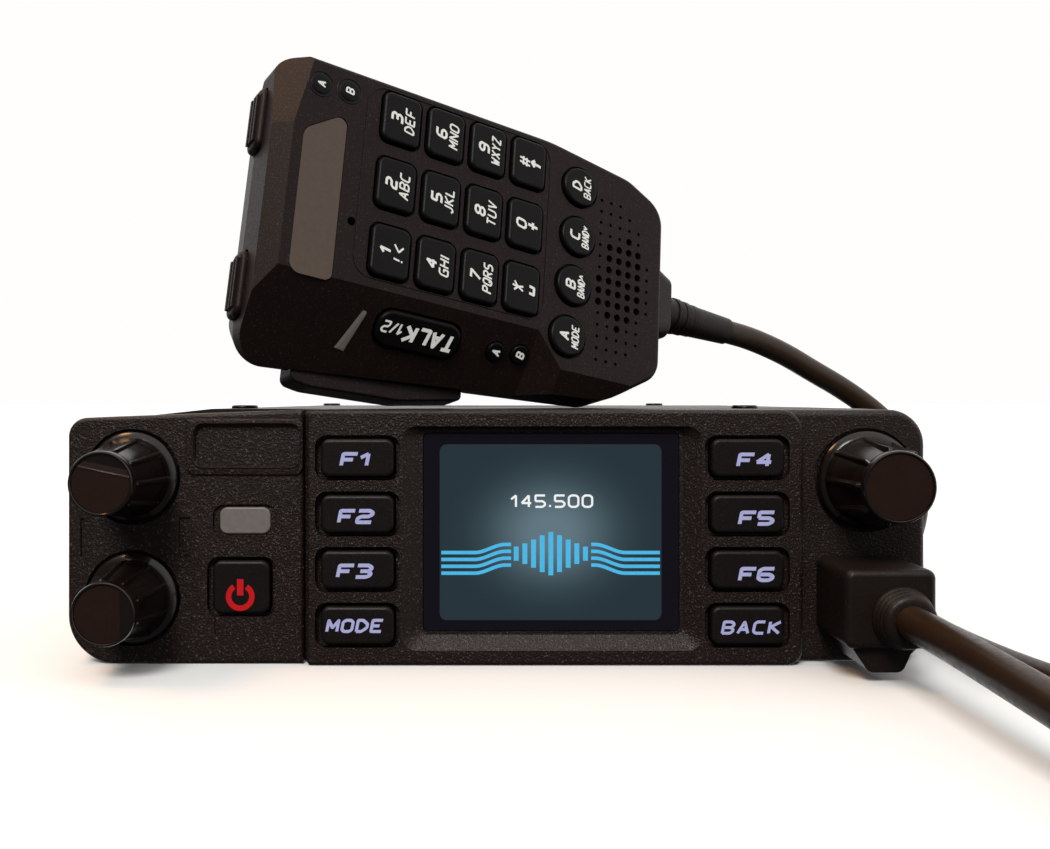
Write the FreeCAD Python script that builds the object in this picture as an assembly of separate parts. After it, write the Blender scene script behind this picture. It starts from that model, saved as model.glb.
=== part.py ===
import FreeCAD, Part
import math
import os
from FreeCAD import Placement, Rotation, Vector

# Mobile transceiver with a keypad hand microphone lying on its lid and a curly lead.
# Millimetres, +Z up, front towards -Y, origin at the middle of the flat underside.

# ---- radio body ----
LEFT_X, RIGHT_X = -79.0, 80.0
HEIGHT = 47.0
MIDDLE_FACE = -95.0
LEFT_FACE = -93.5
RIGHT_FACE = -92.0
CAVITY_FACE = -89.0
POCKET_FACE = -92.6
BEZEL_BACK = -73.0
BODY_BACK = 95.0
BEZEL_WALL = 2.4
SPLIT_X = -35.0
MIDDLE_END_X = 56.5

# ---- display ----
GLASS_X, GLASS_Z, GLASS_W, GLASS_H = 10.3, 24.4, 47.2, 36.4
GLASS_FRONT = -93.3
GLASS_T = 1.2

# ---- keys on the radio ----
KEY_W, KEY_H, KEY_R = 13.4, 7.0, 1.6
KEY_ROWS = (38.2, 27.9, 17.7, 7.5)
LEFT_KEYS_X, RIGHT_KEYS_X = -25.3, 46.2
KEY_PROUD = 0.6
KEY_TRAVEL = 0.8
KEY_BACK = -89.9
RECESS_BORDER = 1.1
RECESS_DEPTHS = {MIDDLE_FACE: 1.7, LEFT_FACE: 1.2}
FIT_GAP = 0.25
BUTTON_X, BUTTON_Z, BUTTON_W, BUTTON_H = -46.9, 14.3, 10.5, 9.8
LAMP_X, LAMP_Z, LAMP_W, LAMP_H = -46.3, 26.5, 9.4, 5.0

# ---- knobs: x, z, recess radius, foot radius, cap radius, front of the cap, recess floor ----
KNOBS = {
    "knob_upper_left": (-67.05, 34.6, 8.9, 8.3, 5.6, -110.8, -91.8),
    "knob_lower_left": (-67.05, 12.2, 8.9, 8.3, 5.6, -109.6, -91.8),
    "knob_right": (68.9, 33.9, 9.7, 9.1, 6.3, -109.8, -91.0),
}
KNOB_RIBS = 9
SHAFT_R, BORE_R, BUSH_R = 2.25, 2.30, 3.5
CONTROL_SIZE = 12.0

# ---- front board ----
BOARD_FRONT, BOARD_T = -83.0, 1.6
SWITCH_FRONT, SWITCH_SIZE = -88.7, 6.0

# ---- microphone socket and plug ----
SOCKET_X, SOCKET_Z = 67.0, 13.5
PLUG_W, PLUG_H = 11.6, 8.0
BOOT_X, BOOT_Z, BOOT_W, BOOT_H = 67.5, 13.0, 15.6, 13.6
BOOT_FRONT, BOOT_REAR = -109.5, -92.3
CORD_EXIT = (69.4, -113.5, 11.6)

# ---- chassis ----
CHASSIS_X = 76.0
CHASSIS_TOP = 46.0
CASTING_WALL = 3.0
SINK_FRONT = 80.0
FIN_PITCH, FIN_SLOT, FIN_DEPTH = 6.0, 3.4, 12.0
BRACKET_HOLE_R, BRACKET_Z, BRACKET_YS = 2.0, 22.0, (-30.0, 10.0)
SCREW_XY = ((-53.6, -60.0), (53.6, -60.0), (-53.6, 72.0), (53.6, 72.0))
SCREW_HEAD, SCREW_SLOT = 0.7, 0.4
SPEAKER_Y, SPEAKER_R = 32.0, 28.5
ANTENNA_X, ANTENNA_Z, ANTENNA_R = 45.0, 23.0, 7.94
GROMMET_X, GROMMET_Z = -45.0, 13.0

# ---- hand microphone: its own axes are u (length), v (width), w (out of the face) ----
MIC_YAW, MIC_LEAN, MIC_ROLL = 32.0, 10.5, 10.6
MIC_CENTRE = (-0.9, -65.1, 77.2)
MIC_SEAM, MIC_BACK = -12.0, -25.0
MIC_WALL = 2.2
MIC_END, END_EDGE = -49.3, -46.8
FACE_OUTLINE = ((MIC_END, -29.0, 6), (33, -22.9, 9), (46.2, -15, 6), (46.2, 25.5, 7),
                (36, 30.4, 10), (14, 33.2, 40), (MIC_END, 33.2, 3))
BACK_OUTLINE = ((-46.5, -22.8, 6), (31, -17.5, 9), (43, -10, 7), (43, 22, 7),
                (33, 26.2, 10), (13, 28.5, 40), (-46.5, 28.5, 4))
BEVEL_TOP_V, BEVEL_DROP, BEVEL_RUN = -11.5, 8.0, 12.5
PAD_U, PAD_V = 10.4, 14.5
PAD_FIRST_U, PAD_FIRST_V = -23.4, -3.5
PAD_KEY_U, PAD_KEY_V, PAD_KEY_R = 8.6, 11.0, 1.8
PAD_NAMES = (("1", "2", "3"), ("4", "5", "6"), ("7", "8", "9"), ("star", "0", "hash"))
ROUND_KEYS = {"d": (21.8, 24.1), "c": (21.8, 12.2), "b": (21.2, 0.5), "a": (20.2, -11.4)}
ROUND_R = 4.5
MIC_PROUD, MIC_TRAVEL, MIC_KEY_BACK = 0.9, 0.7, -6.0
MIC_BOARD_FRONT, MIC_BOARD_T = -7.8, 1.4
END_KEYS = {"mic_up_key": 21.3, "mic_down_key": -13.6}
END_KEY_W = -11.3
MIC_BOSSES = ((-42.0, 5.5, -5.5), (-31.5, 23.0, -2.1), (40.6, -8.0, -5.5), (40.6, 19.0, -5.5))
MIC_WEBS = ((-47.6, -42.0, 5.5), (40.6, 44.6, -8.0), (40.6, 44.6, 19.0))
RELIEF_V, RELIEF_W, RELIEF_END_U = 4.0, -9.0, 74.0

# ---- the lead: one round cable, wound into a curl over its middle ----
CORD_R = 2.9
CURL_R = 8.5
CURL_X, CURL_Z, CURL_FRONT, CURL_REAR = 87.0, 8.8, -40.0, 60.0
FRONT_LEAD = [
    CORD_EXIT, (70.2, -126, 11.2), (70.6, -140, 10.6), (71.2, -155, 9.8), (72.5, -170, 8.4),
    (76, -184, 6.6), (83, -195, 4.6), (94, -200, 3.4), (106, -197, 3.2), (114, -187, 3), (116, -174, 3),
    (112, -161, 3), (104, -149, 3), (96.5, -137, 3), (91, -124, 3), (88.3, -110, 3),
    (87.2, -95, 3), (87, -80, 3), (87.2, -66, 3.8), (87, -53, 7.4), (CURL_X, CURL_FRONT, CURL_Z)]
MIC_LEAD_MIDDLE = [
    (75, -11, 60.8), (84, -6.5, 56.2), (92, -3, 52.3), (100, -1, 47.2),
    (107.5, 0.5, 41.0), (113, 2, 33), (116, 5, 24), (117.5, 11, 15), (119, 20, 8),
    (121.5, 32, 4), (124.5, 45, 3), (126.5, 57, 3), (124.5, 70, 3.2), (117, 80.5, 4),
    (106, 84, 5.4), (95.5, 80.5, 7.2), (88.2, 71, 8.5)]

parts = {}


# ---------------------------------------------------------------- shape helpers

def rounded_wire(corners, at):
    """Closed wire through corners (a, b, radius), each corner an arc; at(a, b) places a point."""
    turns = []
    for i, (a, b, radius) in enumerate(corners):
        here = Vector(a, b, 0)
        before = corners[i - 1]
        after = corners[(i + 1) % len(corners)]
        back = (Vector(before[0], before[1], 0) - here).normalize()
        ahead = (Vector(after[0], after[1], 0) - here).normalize()
        half = back.getAngle(ahead) / 2
        reach = radius / math.tan(half)
        inward = (back + ahead).normalize()
        middle = here + inward * (radius / math.sin(half) - radius)
        turns.append([here + back * reach, middle, here + ahead * reach, radius])
    edges = []
    for i, (start, middle, end, radius) in enumerate(turns):
        if radius > 0:
            edges.append(Part.Arc(*[at(p.x, p.y) for p in (start, middle, end)]).toShape())
        following = turns[(i + 1) % len(turns)][0]
        edges.append(Part.LineSegment(at(end.x, end.y), at(following.x, following.y)).toShape())
    return Part.Wire(edges)


def rectangle(a, b, width, height, radius):
    """The four corners of a rectangle centred at (a, b)."""
    left, right = a - width / 2, a + width / 2
    low, high = b - height / 2, b + height / 2
    return [(left, low, radius), (right, low, radius), (right, high, radius), (left, high, radius)]


def wire_y(corners, y):
    return rounded_wire(corners, lambda a, b: Vector(a, y, b))


def wire_z(corners, z):
    return rounded_wire(corners, lambda a, b: Vector(a, b, z))


def prism_y(corners, y0, y1):
    """An upright outline in X and Z, carried along Y."""
    return Part.Face(wire_y(corners, y0)).extrude(Vector(0, y1 - y0, 0))


def prism_z(corners, z0, z1):
    return Part.Face(wire_z(corners, z0)).extrude(Vector(0, 0, z1 - z0))


def box(x0, x1, y0, y1, z0, z1):
    return Part.makeBox(x1 - x0, y1 - y0, z1 - z0, Vector(x0, y0, z0))


def disc_y(x, z, radius, y0, y1):
    return Part.makeCylinder(radius, y1 - y0, Vector(x, y0, z), Vector(0, 1, 0))


def disc_z(x, y, radius, z0, z1):
    return Part.makeCylinder(radius, z1 - z0, Vector(x, y, z0), Vector(0, 0, 1))


def inset_prism_z(wire, wall, depth):
    """The space inside a level outline, a wall's thickness in from it."""
    return Part.Face(wire.makeOffset2D(-wall)).extrude(Vector(0, 0, depth))


def edges_at(shape, axis, level):
    """Edges that lie wholly at one level of axis x, y or z."""
    return [edge for edge in shape.Edges
            if all(abs(getattr(vertex, axis.upper()) - level) < 1e-4 for vertex in edge.Vertexes)
            and edge.Length > 1e-3]


def softened(shape, axis, level, radius):
    return shape.makeFillet(radius, edges_at(shape, axis, level))


def fused(first, others):
    return first.fuse(others).removeSplitter()


def add(name, *solids):
    """Keeps one node, which is one solid or a group of separate ones."""
    parts[name] = solids[0] if len(solids) == 1 else Part.makeCompound(list(solids))


# ---------------------------------------------------------------- radio: front

BODY_OUTLINE = [(LEFT_X, 0, 9), (RIGHT_X, 0, 6), (RIGHT_X, HEIGHT, 6.5),
                (SPLIT_X, HEIGHT, 0), (LEFT_X, 45.4, 3.5)]

KEY_PLACES = {}
for row, names in enumerate((("key_p1", "key_p4"), ("key_p2", "key_p5"),
                             ("key_p3", "key_p6"), ("key_menu", "key_exit"))):
    for name, x in zip(names, (LEFT_KEYS_X, RIGHT_KEYS_X)):
        KEY_PLACES[name] = (x, KEY_ROWS[row], KEY_W, KEY_H, MIDDLE_FACE)
KEY_PLACES["power_button"] = (BUTTON_X, BUTTON_Z, BUTTON_W, BUTTON_H, LEFT_FACE)


def front_bezel():
    """Moulded front frame: three stepped plates on one hollow rim."""
    rim = softened(prism_y(BODY_OUTLINE, RIGHT_FACE, BEZEL_BACK), "y", RIGHT_FACE, 1.2)
    left = prism_y(BODY_OUTLINE, LEFT_FACE, RIGHT_FACE + 1.5)
    left = left.common(box(2 * LEFT_X, SPLIT_X - 0.4, -200, 0, -10, 60))
    left = softened(left, "y", LEFT_FACE, 0.7)
    middle_outline = [(SPLIT_X + 0.3, 0, 0.9), (MIDDLE_END_X, 0, 3), (MIDDLE_END_X, HEIGHT, 4),
                      (SPLIT_X + 0.3, HEIGHT, 0.9)]
    middle = softened(prism_y(middle_outline, MIDDLE_FACE, RIGHT_FACE + 1.5), "y", MIDDLE_FACE, 0.8)
    body = fused(rim, [left, middle])

    hollow = Part.Face(wire_y(BODY_OUTLINE, CAVITY_FACE).makeOffset2D(-BEZEL_WALL))
    cuts = [hollow.extrude(Vector(0, BEZEL_BACK - CAVITY_FACE + 1, 0))]
    cuts.append(prism_y(rectangle(10.6, 23.5, 89.5, 41.0, 1.0), POCKET_FACE, CAVITY_FACE + 0.1))
    cuts.append(prism_y(rectangle(BUTTON_X, BUTTON_Z, BUTTON_W + 2.6, BUTTON_H + 2.6, 1.0),
                        LEFT_FACE + 2.0, CAVITY_FACE + 0.1))

    surround = Part.makeLoft([wire_y(rectangle(GLASS_X + 0.1, 23.4, 55.0, 41.2, 2.6), MIDDLE_FACE - 0.01),
                              wire_y(rectangle(GLASS_X, GLASS_Z, 48.8, 38.0, 1.6), -93.2)], True, True)
    cuts.append(surround)
    cuts.append(prism_y(rectangle(GLASS_X, GLASS_Z, GLASS_W + 0.3, GLASS_H + 0.3, 1.0), -94, -88))

    for x, z, width, height, face in KEY_PLACES.values():
        border = 2 * RECESS_BORDER
        cuts.append(prism_y(rectangle(x, z, width + border, height + border * 0.6, KEY_R + 0.6),
                            face - 0.1, face + RECESS_DEPTHS[face]))
        cuts.append(prism_y(rectangle(x, z, width + 2 * FIT_GAP, height + 2 * FIT_GAP, KEY_R),
                            face - 0.1, CAVITY_FACE + 0.1))
    cuts.append(prism_y(rectangle(BUTTON_X, 7.2, 10.0, 4.2, 0.8), LEFT_FACE - 0.1, LEFT_FACE + 0.4))
    cuts.append(prism_y(rectangle(LAMP_X, LAMP_Z, LAMP_W + 2.4, LAMP_H + 1.0, 2.0),
                        LEFT_FACE - 0.1, LEFT_FACE + 0.6))
    cuts.append(prism_y(rectangle(LAMP_X, LAMP_Z, LAMP_W + 0.2, LAMP_H + 0.2, 1.6), LEFT_FACE, -88))
    cuts.append(prism_y(rectangle(-45.8, 40.5, 19.4, 7.6, 2.2), LEFT_FACE - 0.1, LEFT_FACE + 0.5))
    for x, z, recess_r, foot_r, cap_r, front, floor in KNOBS.values():
        cuts.append(disc_y(x, z, recess_r, -96, floor))
        cuts.append(disc_y(x, z, BUSH_R + 0.1, -96, -88))
    for x, width in ((-76.3, 0.7), (-58.0, 0.9)):
        cuts.append(prism_y(rectangle(x, 23.4, width, 7.2, 0.1), LEFT_FACE - 0.1, LEFT_FACE + 0.4))
    for z in (19.9, 26.9):
        cuts.append(prism_y(rectangle(-57.3, z, 1.8, 0.5, 0.1), LEFT_FACE - 0.1, LEFT_FACE + 0.4))
    cuts.append(prism_y(rectangle(SOCKET_X, SOCKET_Z, PLUG_W + 1.0, PLUG_H + 1.0, 0.5), -96, -88))
    body = body.cut(cuts)

    posts = [disc_y(x, z, 1.5, CAVITY_FACE - 0.5, BOARD_FRONT) for x in (-38.0, 57.2) for z in (5.6, 41.6)]
    return fused(body, posts)


def radio_key(x, z, width, height, face):
    """A push key: a soft-edged cap, a retaining rim inside the pocket and a square foot."""
    cap = prism_y(rectangle(x, z, width, height, KEY_R), face - KEY_PROUD, -90.6)
    cap = softened(cap, "y", face - KEY_PROUD, 0.7)
    rim_y = face + (3.2 if face == MIDDLE_FACE else 2.6)
    rim = prism_y(rectangle(x, z, width + 1.5, height + 1.5, 1.0), rim_y, rim_y + 0.8)
    foot = box(x - 2, x + 2, -91.0, KEY_BACK, z - 2, z + 2)
    return fused(cap, [rim, foot])


def knob(x, z, recess_r, foot_r, cap_r, front, floor):
    """A tapered knob with raised ribs and a dished cap, on its steel shaft."""
    foot = floor - 0.4
    length = foot - front
    toward = Vector(0, -1, 0)
    skirt = Part.makeCylinder(foot_r, 2.4, Vector(x, foot, z), toward)
    cone = Part.makeCone(foot_r - 1.2, cap_r - 0.5, length - 1.4, Vector(x, foot, z), toward)
    cap = Part.makeCylinder(cap_r, 1.8, Vector(x, front + 1.8, z), toward)
    ribs = []
    for i in range(KNOB_RIBS):
        rib = Part.makePolygon([Vector(0, foot - 2.0, 0), Vector(foot_r - 0.3, foot - 2.0, 0),
                                Vector(cap_r + 0.3, front + 2.6, 0), Vector(0, front + 2.6, 0),
                                Vector(0, foot - 2.0, 0)])
        rib = Part.Face(rib).extrude(Vector(0, 0, 2.2))
        rib.translate(Vector(x, 0, z - 1.1))
        rib.rotate(Vector(x, 0, z), Vector(0, 1, 0), 360.0 / KNOB_RIBS * (i + 0.5))
        ribs.append(rib)
    body = fused(skirt, [cone, cap] + ribs)
    dish = Part.makeCone(cap_r - 0.7, cap_r - 1.3, 0.5, Vector(x, front - 0.01, z), Vector(0, 1, 0))
    hollow = disc_y(x, z, 4.4, foot - 2.2, foot + 1)
    bore = disc_y(x, z, SHAFT_R, front + 5.0, foot + 1)
    shaft = disc_y(x, z, SHAFT_R, front + 5.0, -86.0)
    return body.cut([dish, hollow, bore]), shaft


def rotary_control(x, z, floor):
    """Encoder body with a bush through the front wall, bored for the shaft."""
    half = CONTROL_SIZE / 2
    case = box(x - half, x + half, -88.8, BOARD_FRONT, z - half, z + half)
    bush = disc_y(x, z, BUSH_R, floor - 0.6, -88.0)
    return fused(case, [bush]).cut(disc_y(x, z, BORE_R, -100, -85.0))


def front_board():
    """Circuit board behind the front, with one key switch per button."""
    board = prism_y(rectangle(0, 23.0, 148.0, 37.0, 5.0), BOARD_FRONT, BOARD_FRONT + BOARD_T)
    board = board.cut(box(58.2, 80, -90, -70, 0, 22.0))
    half = SWITCH_SIZE / 2
    switches = [box(x - half, x + half, SWITCH_FRONT, BOARD_FRONT + 0.2, z - half, z + half)
                for x, z, width, height, face in KEY_PLACES.values()]
    connector = box(-8, 28, -86.5, BOARD_FRONT + 0.2, 12, 16)
    return fused(board, switches + [connector])


add("front_bezel", front_bezel())
for name, place in KEY_PLACES.items():
    add(name, radio_key(*place))
for name, place in KNOBS.items():
    add(name, *knob(*place))
add("rotary_controls", *[rotary_control(k[0], k[1], k[6]) for k in KNOBS.values()])
add("front_board", front_board())
add("display_glass", prism_y(rectangle(GLASS_X, GLASS_Z, GLASS_W, GLASS_H, 0.9),
                             GLASS_FRONT, GLASS_FRONT + GLASS_T))
add("display_module", prism_y(rectangle(GLASS_X, GLASS_Z, 45.5, 35.5, 0.5),
                              GLASS_FRONT + GLASS_T, -88.0))
add("led_window", softened(prism_y(rectangle(LAMP_X, LAMP_Z, LAMP_W, LAMP_H, 1.5), LEFT_FACE + 0.2, -89.4),
                           "y", LEFT_FACE + 0.2, 0.4))


# ---------------------------------------------------------------- radio: socket and plug

def mic_socket():
    """Eight-way modular socket behind the opening at the lower right."""
    case = box(SOCKET_X - 8, SOCKET_X + 8, -88.9, -74.0, SOCKET_Z - 6.5, SOCKET_Z + 7.0)
    mouth = prism_y(rectangle(SOCKET_X, SOCKET_Z, PLUG_W + 0.4, PLUG_H + 0.4, 0.2), -89, -78.0)
    return case.cut(mouth)


def mic_plug():
    """Clear modular plug, and the rubber boot that covers its rear half and latch."""
    plug = box(SOCKET_X - PLUG_W / 2, SOCKET_X + PLUG_W / 2, -99.0, -78.6,
               SOCKET_Z - PLUG_H / 2, SOCKET_Z + PLUG_H / 2)
    boot = prism_y(rectangle(BOOT_X, BOOT_Z, BOOT_W, BOOT_H, 1.6), BOOT_FRONT, BOOT_REAR)
    boot = softened(boot, "y", BOOT_FRONT, 1.2)
    hump = prism_y([(BOOT_X - 6.9, 7.2, 0), (BOOT_X - 3.3, 1.9, 1.6), (BOOT_X + 2.5, 1.9, 1.6),
                    (BOOT_X + 4.9, 7.2, 0)], -107.6, -94.0)
    collar = Part.makeCone(5.2, 4.2, 5.2, Vector(CORD_EXIT[0], BOOT_FRONT + 1.2, CORD_EXIT[2]),
                           Vector(0, -1, 0))
    boot = fused(boot, [hump, collar]).cut(plug)
    return boot, plug


add("mic_socket", mic_socket())
add("mic_plug", *mic_plug())


# ---------------------------------------------------------------- radio: body

def shoulder_wedge(drop):
    """What the sloping left shoulder takes away, this far under the lid's top."""
    corners = [(-57.5, HEIGHT - drop, 0), (-50.0, HEIGHT + 6, 0), (-90.0, HEIGHT + 6, 0),
               (-90.0, HEIGHT - 3.5 - drop, 0)]
    return prism_y(corners, BEZEL_BACK - 5, BODY_BACK + 5)


def chassis():
    """Die-cast tray with a finned rear block, side grooves, cover bosses and bracket holes."""
    body = box(-CHASSIS_X, CHASSIS_X, BEZEL_BACK, BODY_BACK, 0, CHASSIS_TOP)
    inner = CHASSIS_X - CASTING_WALL
    cuts = [box(-inner, inner, BEZEL_BACK - 1, SINK_FRONT, CASTING_WALL, CHASSIS_TOP + 1)]
    for i in range(-12, 13):
        x = i * FIN_PITCH
        in_antenna_pad = abs(x - ANTENNA_X) < 16
        in_grommet_pad = abs(x - GROMMET_X) < 11
        if not (in_antenna_pad or in_grommet_pad):
            cuts.append(box(x - FIN_SLOT / 2, x + FIN_SLOT / 2, BODY_BACK - FIN_DEPTH, BODY_BACK + 1,
                            -1, CHASSIS_TOP + 1))
    for side in (-1, 1):
        for z in (8.0, 30.0):
            groove = box(-1.0, 1.0, 24, BODY_BACK + 1, z - 1.3, z + 1.3)
            groove.translate(Vector(side * CHASSIS_X, 0, 0))
            cuts.append(groove)
    body = body.cut(cuts)
    lumps = []
    for x, y in SCREW_XY:
        lumps.append(disc_z(x, y, 3.6, CASTING_WALL - 0.5, CHASSIS_TOP))
    for side in (-1, 1):
        for y in BRACKET_YS:
            boss = Part.makeCylinder(4.5, 4.0, Vector(side * (inner + 0.5), y, BRACKET_Z),
                                     Vector(-side, 0, 0))
            lumps.append(boss)
    for x in (-60, 60):
        for y in (-52, 64):
            lumps.append(disc_z(x, y, 2.6, CASTING_WALL - 0.5, 8.0))
    body = fused(body, lumps).cut(shoulder_wedge(HEIGHT - CHASSIS_TOP))
    holes = [disc_z(x, y, 1.3, CHASSIS_TOP - 10, CHASSIS_TOP + 1) for x, y in SCREW_XY]
    for side in (-1, 1):
        for y in BRACKET_YS:
            holes.append(Part.makeCylinder(BRACKET_HOLE_R, 12, Vector(side * (CHASSIS_X + 2), y, BRACKET_Z),
                                           Vector(-side, 0, 0)))
    holes.append(disc_y(ANTENNA_X, ANTENNA_Z, 7.1, SINK_FRONT - 1, BODY_BACK + 1))
    holes.append(disc_y(GROMMET_X, GROMMET_Z, 6.0, SINK_FRONT - 1, BODY_BACK + 1))
    return body.cut(holes)


def top_cover():
    """Folded steel lid with short side flanges and a slotted speaker grille."""
    outer = CHASSIS_X + 1.0
    lid = box(-outer, outer, BEZEL_BACK + 0.1, SINK_FRONT, CHASSIS_TOP - 3.5, HEIGHT)
    below = box(-CHASSIS_X, CHASSIS_X, BEZEL_BACK, SINK_FRONT + 1, 30, CHASSIS_TOP)
    lid = lid.cut(below.cut(shoulder_wedge(HEIGHT - CHASSIS_TOP))).cut(shoulder_wedge(0))
    flanges = [box(CHASSIS_X, outer, BEZEL_BACK + 0.1, SINK_FRONT, 34, HEIGHT),
               box(-outer, -CHASSIS_X, BEZEL_BACK + 0.1, SINK_FRONT, 34, 44.0)]
    lid = fused(lid, flanges)
    cuts = [disc_z(x, y, 1.6, CHASSIS_TOP - 1, HEIGHT + 1) for x, y in SCREW_XY]
    for i in range(-5, 6):
        y = SPEAKER_Y + i * 4.6
        reach = math.sqrt((SPEAKER_R - 3.5) ** 2 - (i * 4.6) ** 2)
        cuts.append(prism_z(rectangle(0, y, 2 * reach, 2.2, 1.05), CHASSIS_TOP - 1, HEIGHT + 1))
    return lid.cut(cuts)


def cover_screw(x, y):
    """Pan-head screw into a casting boss."""
    top = HEIGHT + SCREW_HEAD
    head = softened(disc_z(x, y, 2.8, HEIGHT, top), "z", top, 0.5)
    shank = disc_z(x, y, 1.25, HEIGHT - 9.0, HEIGHT + 0.2)
    slot = box(x - 2.0, x + 2.0, y - 0.3, y + 0.3, top - SCREW_SLOT, top + 1)
    cross = box(x - 0.3, x + 0.3, y - 2.0, y + 2.0, top - SCREW_SLOT, top + 1)
    return fused(head, [shank]).cut([slot, cross])


def main_board():
    """Main circuit board on four posts, with its shield cans and output stage."""
    board = box(-70, 70, -68, 74, 8.0, 9.6)
    board = board.cut([disc_z(x, y, 4.0, 7, 11) for x, y in SCREW_XY])
    cans = [box(-60, -22, -40, 0, 9.4, 16), box(-14, 30, -50, -14, 9.4, 15),
            box(-62, -20, 16, 60, 9.4, 18), box(34, 64, -36, 20, 9.4, 14)]
    output_stage = box(-6, 28, 58, 74, 9.4, 22)
    return fused(board, cans + [output_stage])


def speaker():
    """Round loudspeaker under the grille: frame, cone basket and magnet in one outline."""
    frame = disc_z(0, SPEAKER_Y, SPEAKER_R, 43.6, 45.9)
    basket = Part.makeCone(15.5, SPEAKER_R - 2.5, 10.0, Vector(0, SPEAKER_Y, 34.0), Vector(0, 0, 1))
    magnet = disc_z(0, SPEAKER_Y, 16.0, 26.0, 34.5)
    bowl = Part.makeCone(6.0, SPEAKER_R - 4.5, 8.5, Vector(0, SPEAKER_Y, 37.6), Vector(0, 0, 1))
    return fused(frame, [basket, magnet]).cut(bowl)


def antenna_socket():
    """UHF-type aerial socket: square flange, threaded barrel and insulated centre."""
    flange = prism_y(rectangle(ANTENNA_X, ANTENNA_Z, 25.0, 25.0, 2.0), BODY_BACK, BODY_BACK + 2)
    barrel = disc_y(ANTENNA_X, ANTENNA_Z, ANTENNA_R, BODY_BACK + 1, BODY_BACK + 14)
    rear = disc_y(ANTENNA_X, ANTENNA_Z, 7.0, SINK_FRONT + 1, BODY_BACK + 0.5)
    cup = disc_y(ANTENNA_X, ANTENNA_Z, 6.2, BODY_BACK + 10.5, BODY_BACK + 15)
    centre = disc_y(ANTENNA_X, ANTENNA_Z, 1.9, BODY_BACK + 4, BODY_BACK + 15)
    corner_holes = [disc_y(ANTENNA_X + dx, ANTENNA_Z + dz, 1.5, BODY_BACK - 1, BODY_BACK + 3)
                    for dx in (-9.1, 9.1) for dz in (-9.1, 9.1)]
    return fused(flange, [barrel, rear]).cut([cup, centre] + corner_holes)


def power_grommet():
    """Rubber grommet where the supply lead enters the rear wall."""
    flange = disc_y(GROMMET_X, GROMMET_Z, 8.0, BODY_BACK, BODY_BACK + 2.2)
    neck = disc_y(GROMMET_X, GROMMET_Z, 5.9, SINK_FRONT + 5, BODY_BACK + 1)
    return fused(flange, [neck]).cut(disc_y(GROMMET_X, GROMMET_Z, 2.4, SINK_FRONT, BODY_BACK + 4))


add("chassis", chassis())
add("top_cover", top_cover())
add("cover_screws", *[cover_screw(x, y) for x, y in SCREW_XY])
add("main_board", main_board())
add("speaker", speaker())
add("antenna_socket", antenna_socket())
add("power_grommet", power_grommet())


# ---------------------------------------------------------------- hand microphone

MIC_TURN = (Rotation(Vector(0, 0, 1), MIC_YAW) * Rotation(Vector(1, 0, 0), -MIC_LEAN)
            * Rotation(Vector(0, 1, 0), MIC_ROLL) * Rotation(Vector(1, 0, 0), 90))
MIC_PLACE = Placement(Vector(*MIC_CENTRE), MIC_TURN)
BEVEL_ANGLE = math.degrees(math.atan2(BEVEL_DROP, BEVEL_RUN))
BEVEL_PLACE = Placement(Vector(0, BEVEL_TOP_V - BEVEL_RUN / 2, -BEVEL_DROP / 2),
                        Rotation(Vector(1, 0, 0), BEVEL_ANGLE))
BEVEL_OUT = Vector(0, -math.sin(math.radians(BEVEL_ANGLE)), math.cos(math.radians(BEVEL_ANGLE)))


def add_mic(name, *solids):
    """Keeps a microphone node, moved from the microphone's own axes to where it lies."""
    placed = []
    for solid in solids:
        solid = solid.copy()
        solid.Placement = MIC_PLACE * solid.Placement
        placed.append(solid)
    add(name, *placed)


def on_bevel(solid):
    solid = solid.copy()
    solid.Placement = BEVEL_PLACE * solid.Placement
    return solid


def triangle_loft(sections, place):
    """A wedge through triangles, each given as a level and three (a, b) points."""
    wires = []
    for level, points in sections:
        corners = [place(level, a, b) for a, b in points]
        wires.append(Part.makePolygon(corners + [corners[0]]))
    return Part.makeLoft(wires, True, True)


def bevel_wedge():
    """What the sloping lower edge of the face takes away; it runs out towards the cable end."""
    slope = BEVEL_DROP / BEVEL_RUN

    def triangle(top_v):
        return [(top_v + 5 / slope, 5), (-45, (-45 - top_v) * slope), (-45, 5)]
    sections = [(-60, triangle(BEVEL_TOP_V)), (13, triangle(BEVEL_TOP_V)),
                (19, triangle(BEVEL_TOP_V - 7.5)), (60, triangle(BEVEL_TOP_V - 7.5))]
    return triangle_loft(sections, lambda u, v, w: Vector(u, v, w))


def end_wedge():
    """Facet along the top end of the face, widest at the upper corner."""
    def triangle(size):
        return [(END_EDGE + size + 2, 2), (END_EDGE - 8, -size - 8), (END_EDGE - 8, 2)]
    sections = [(-45, triangle(0.8)), (18, triangle(0.8)), (38, triangle(4.6))]
    return triangle_loft(sections, lambda v, u, w: Vector(u, v, w))


BEVEL_WEDGE = bevel_wedge()
END_WEDGE = end_wedge()
PAD_KEYS = {}
for row, names in enumerate(PAD_NAMES):
    for column, digit in enumerate(names):
        PAD_KEYS["mic_key_" + digit] = (PAD_FIRST_U + row * PAD_U, PAD_FIRST_V + column * PAD_V)
SUB_KEY = (-13.8, 0.3, 18.8, 7.6)
BAND_KEYS = {"mic_band_a": (4.6, 0.6), "mic_band_b": (10.4, 1.2)}
BAND_R = 2.1
WINDOW = [(-43.9, -12.4, 2.4), (-34.9, -12.4, 1.6), (-34.9, 23.4, 1.6), (-43.9, 17.4, 3.0)]
PTT_OUTLINE = [(-37.0, -24.2, 0.6), (1.5, -24.2, 0.6), (1.5, -27.1, 1.2), (-13.0, -29.9, 12),
               (-33.0, -30.7, 9), (-37.0, -30.0, 1.6)]
PTT_BACK, PTT_FRONT = -17.2, -11.2
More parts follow.
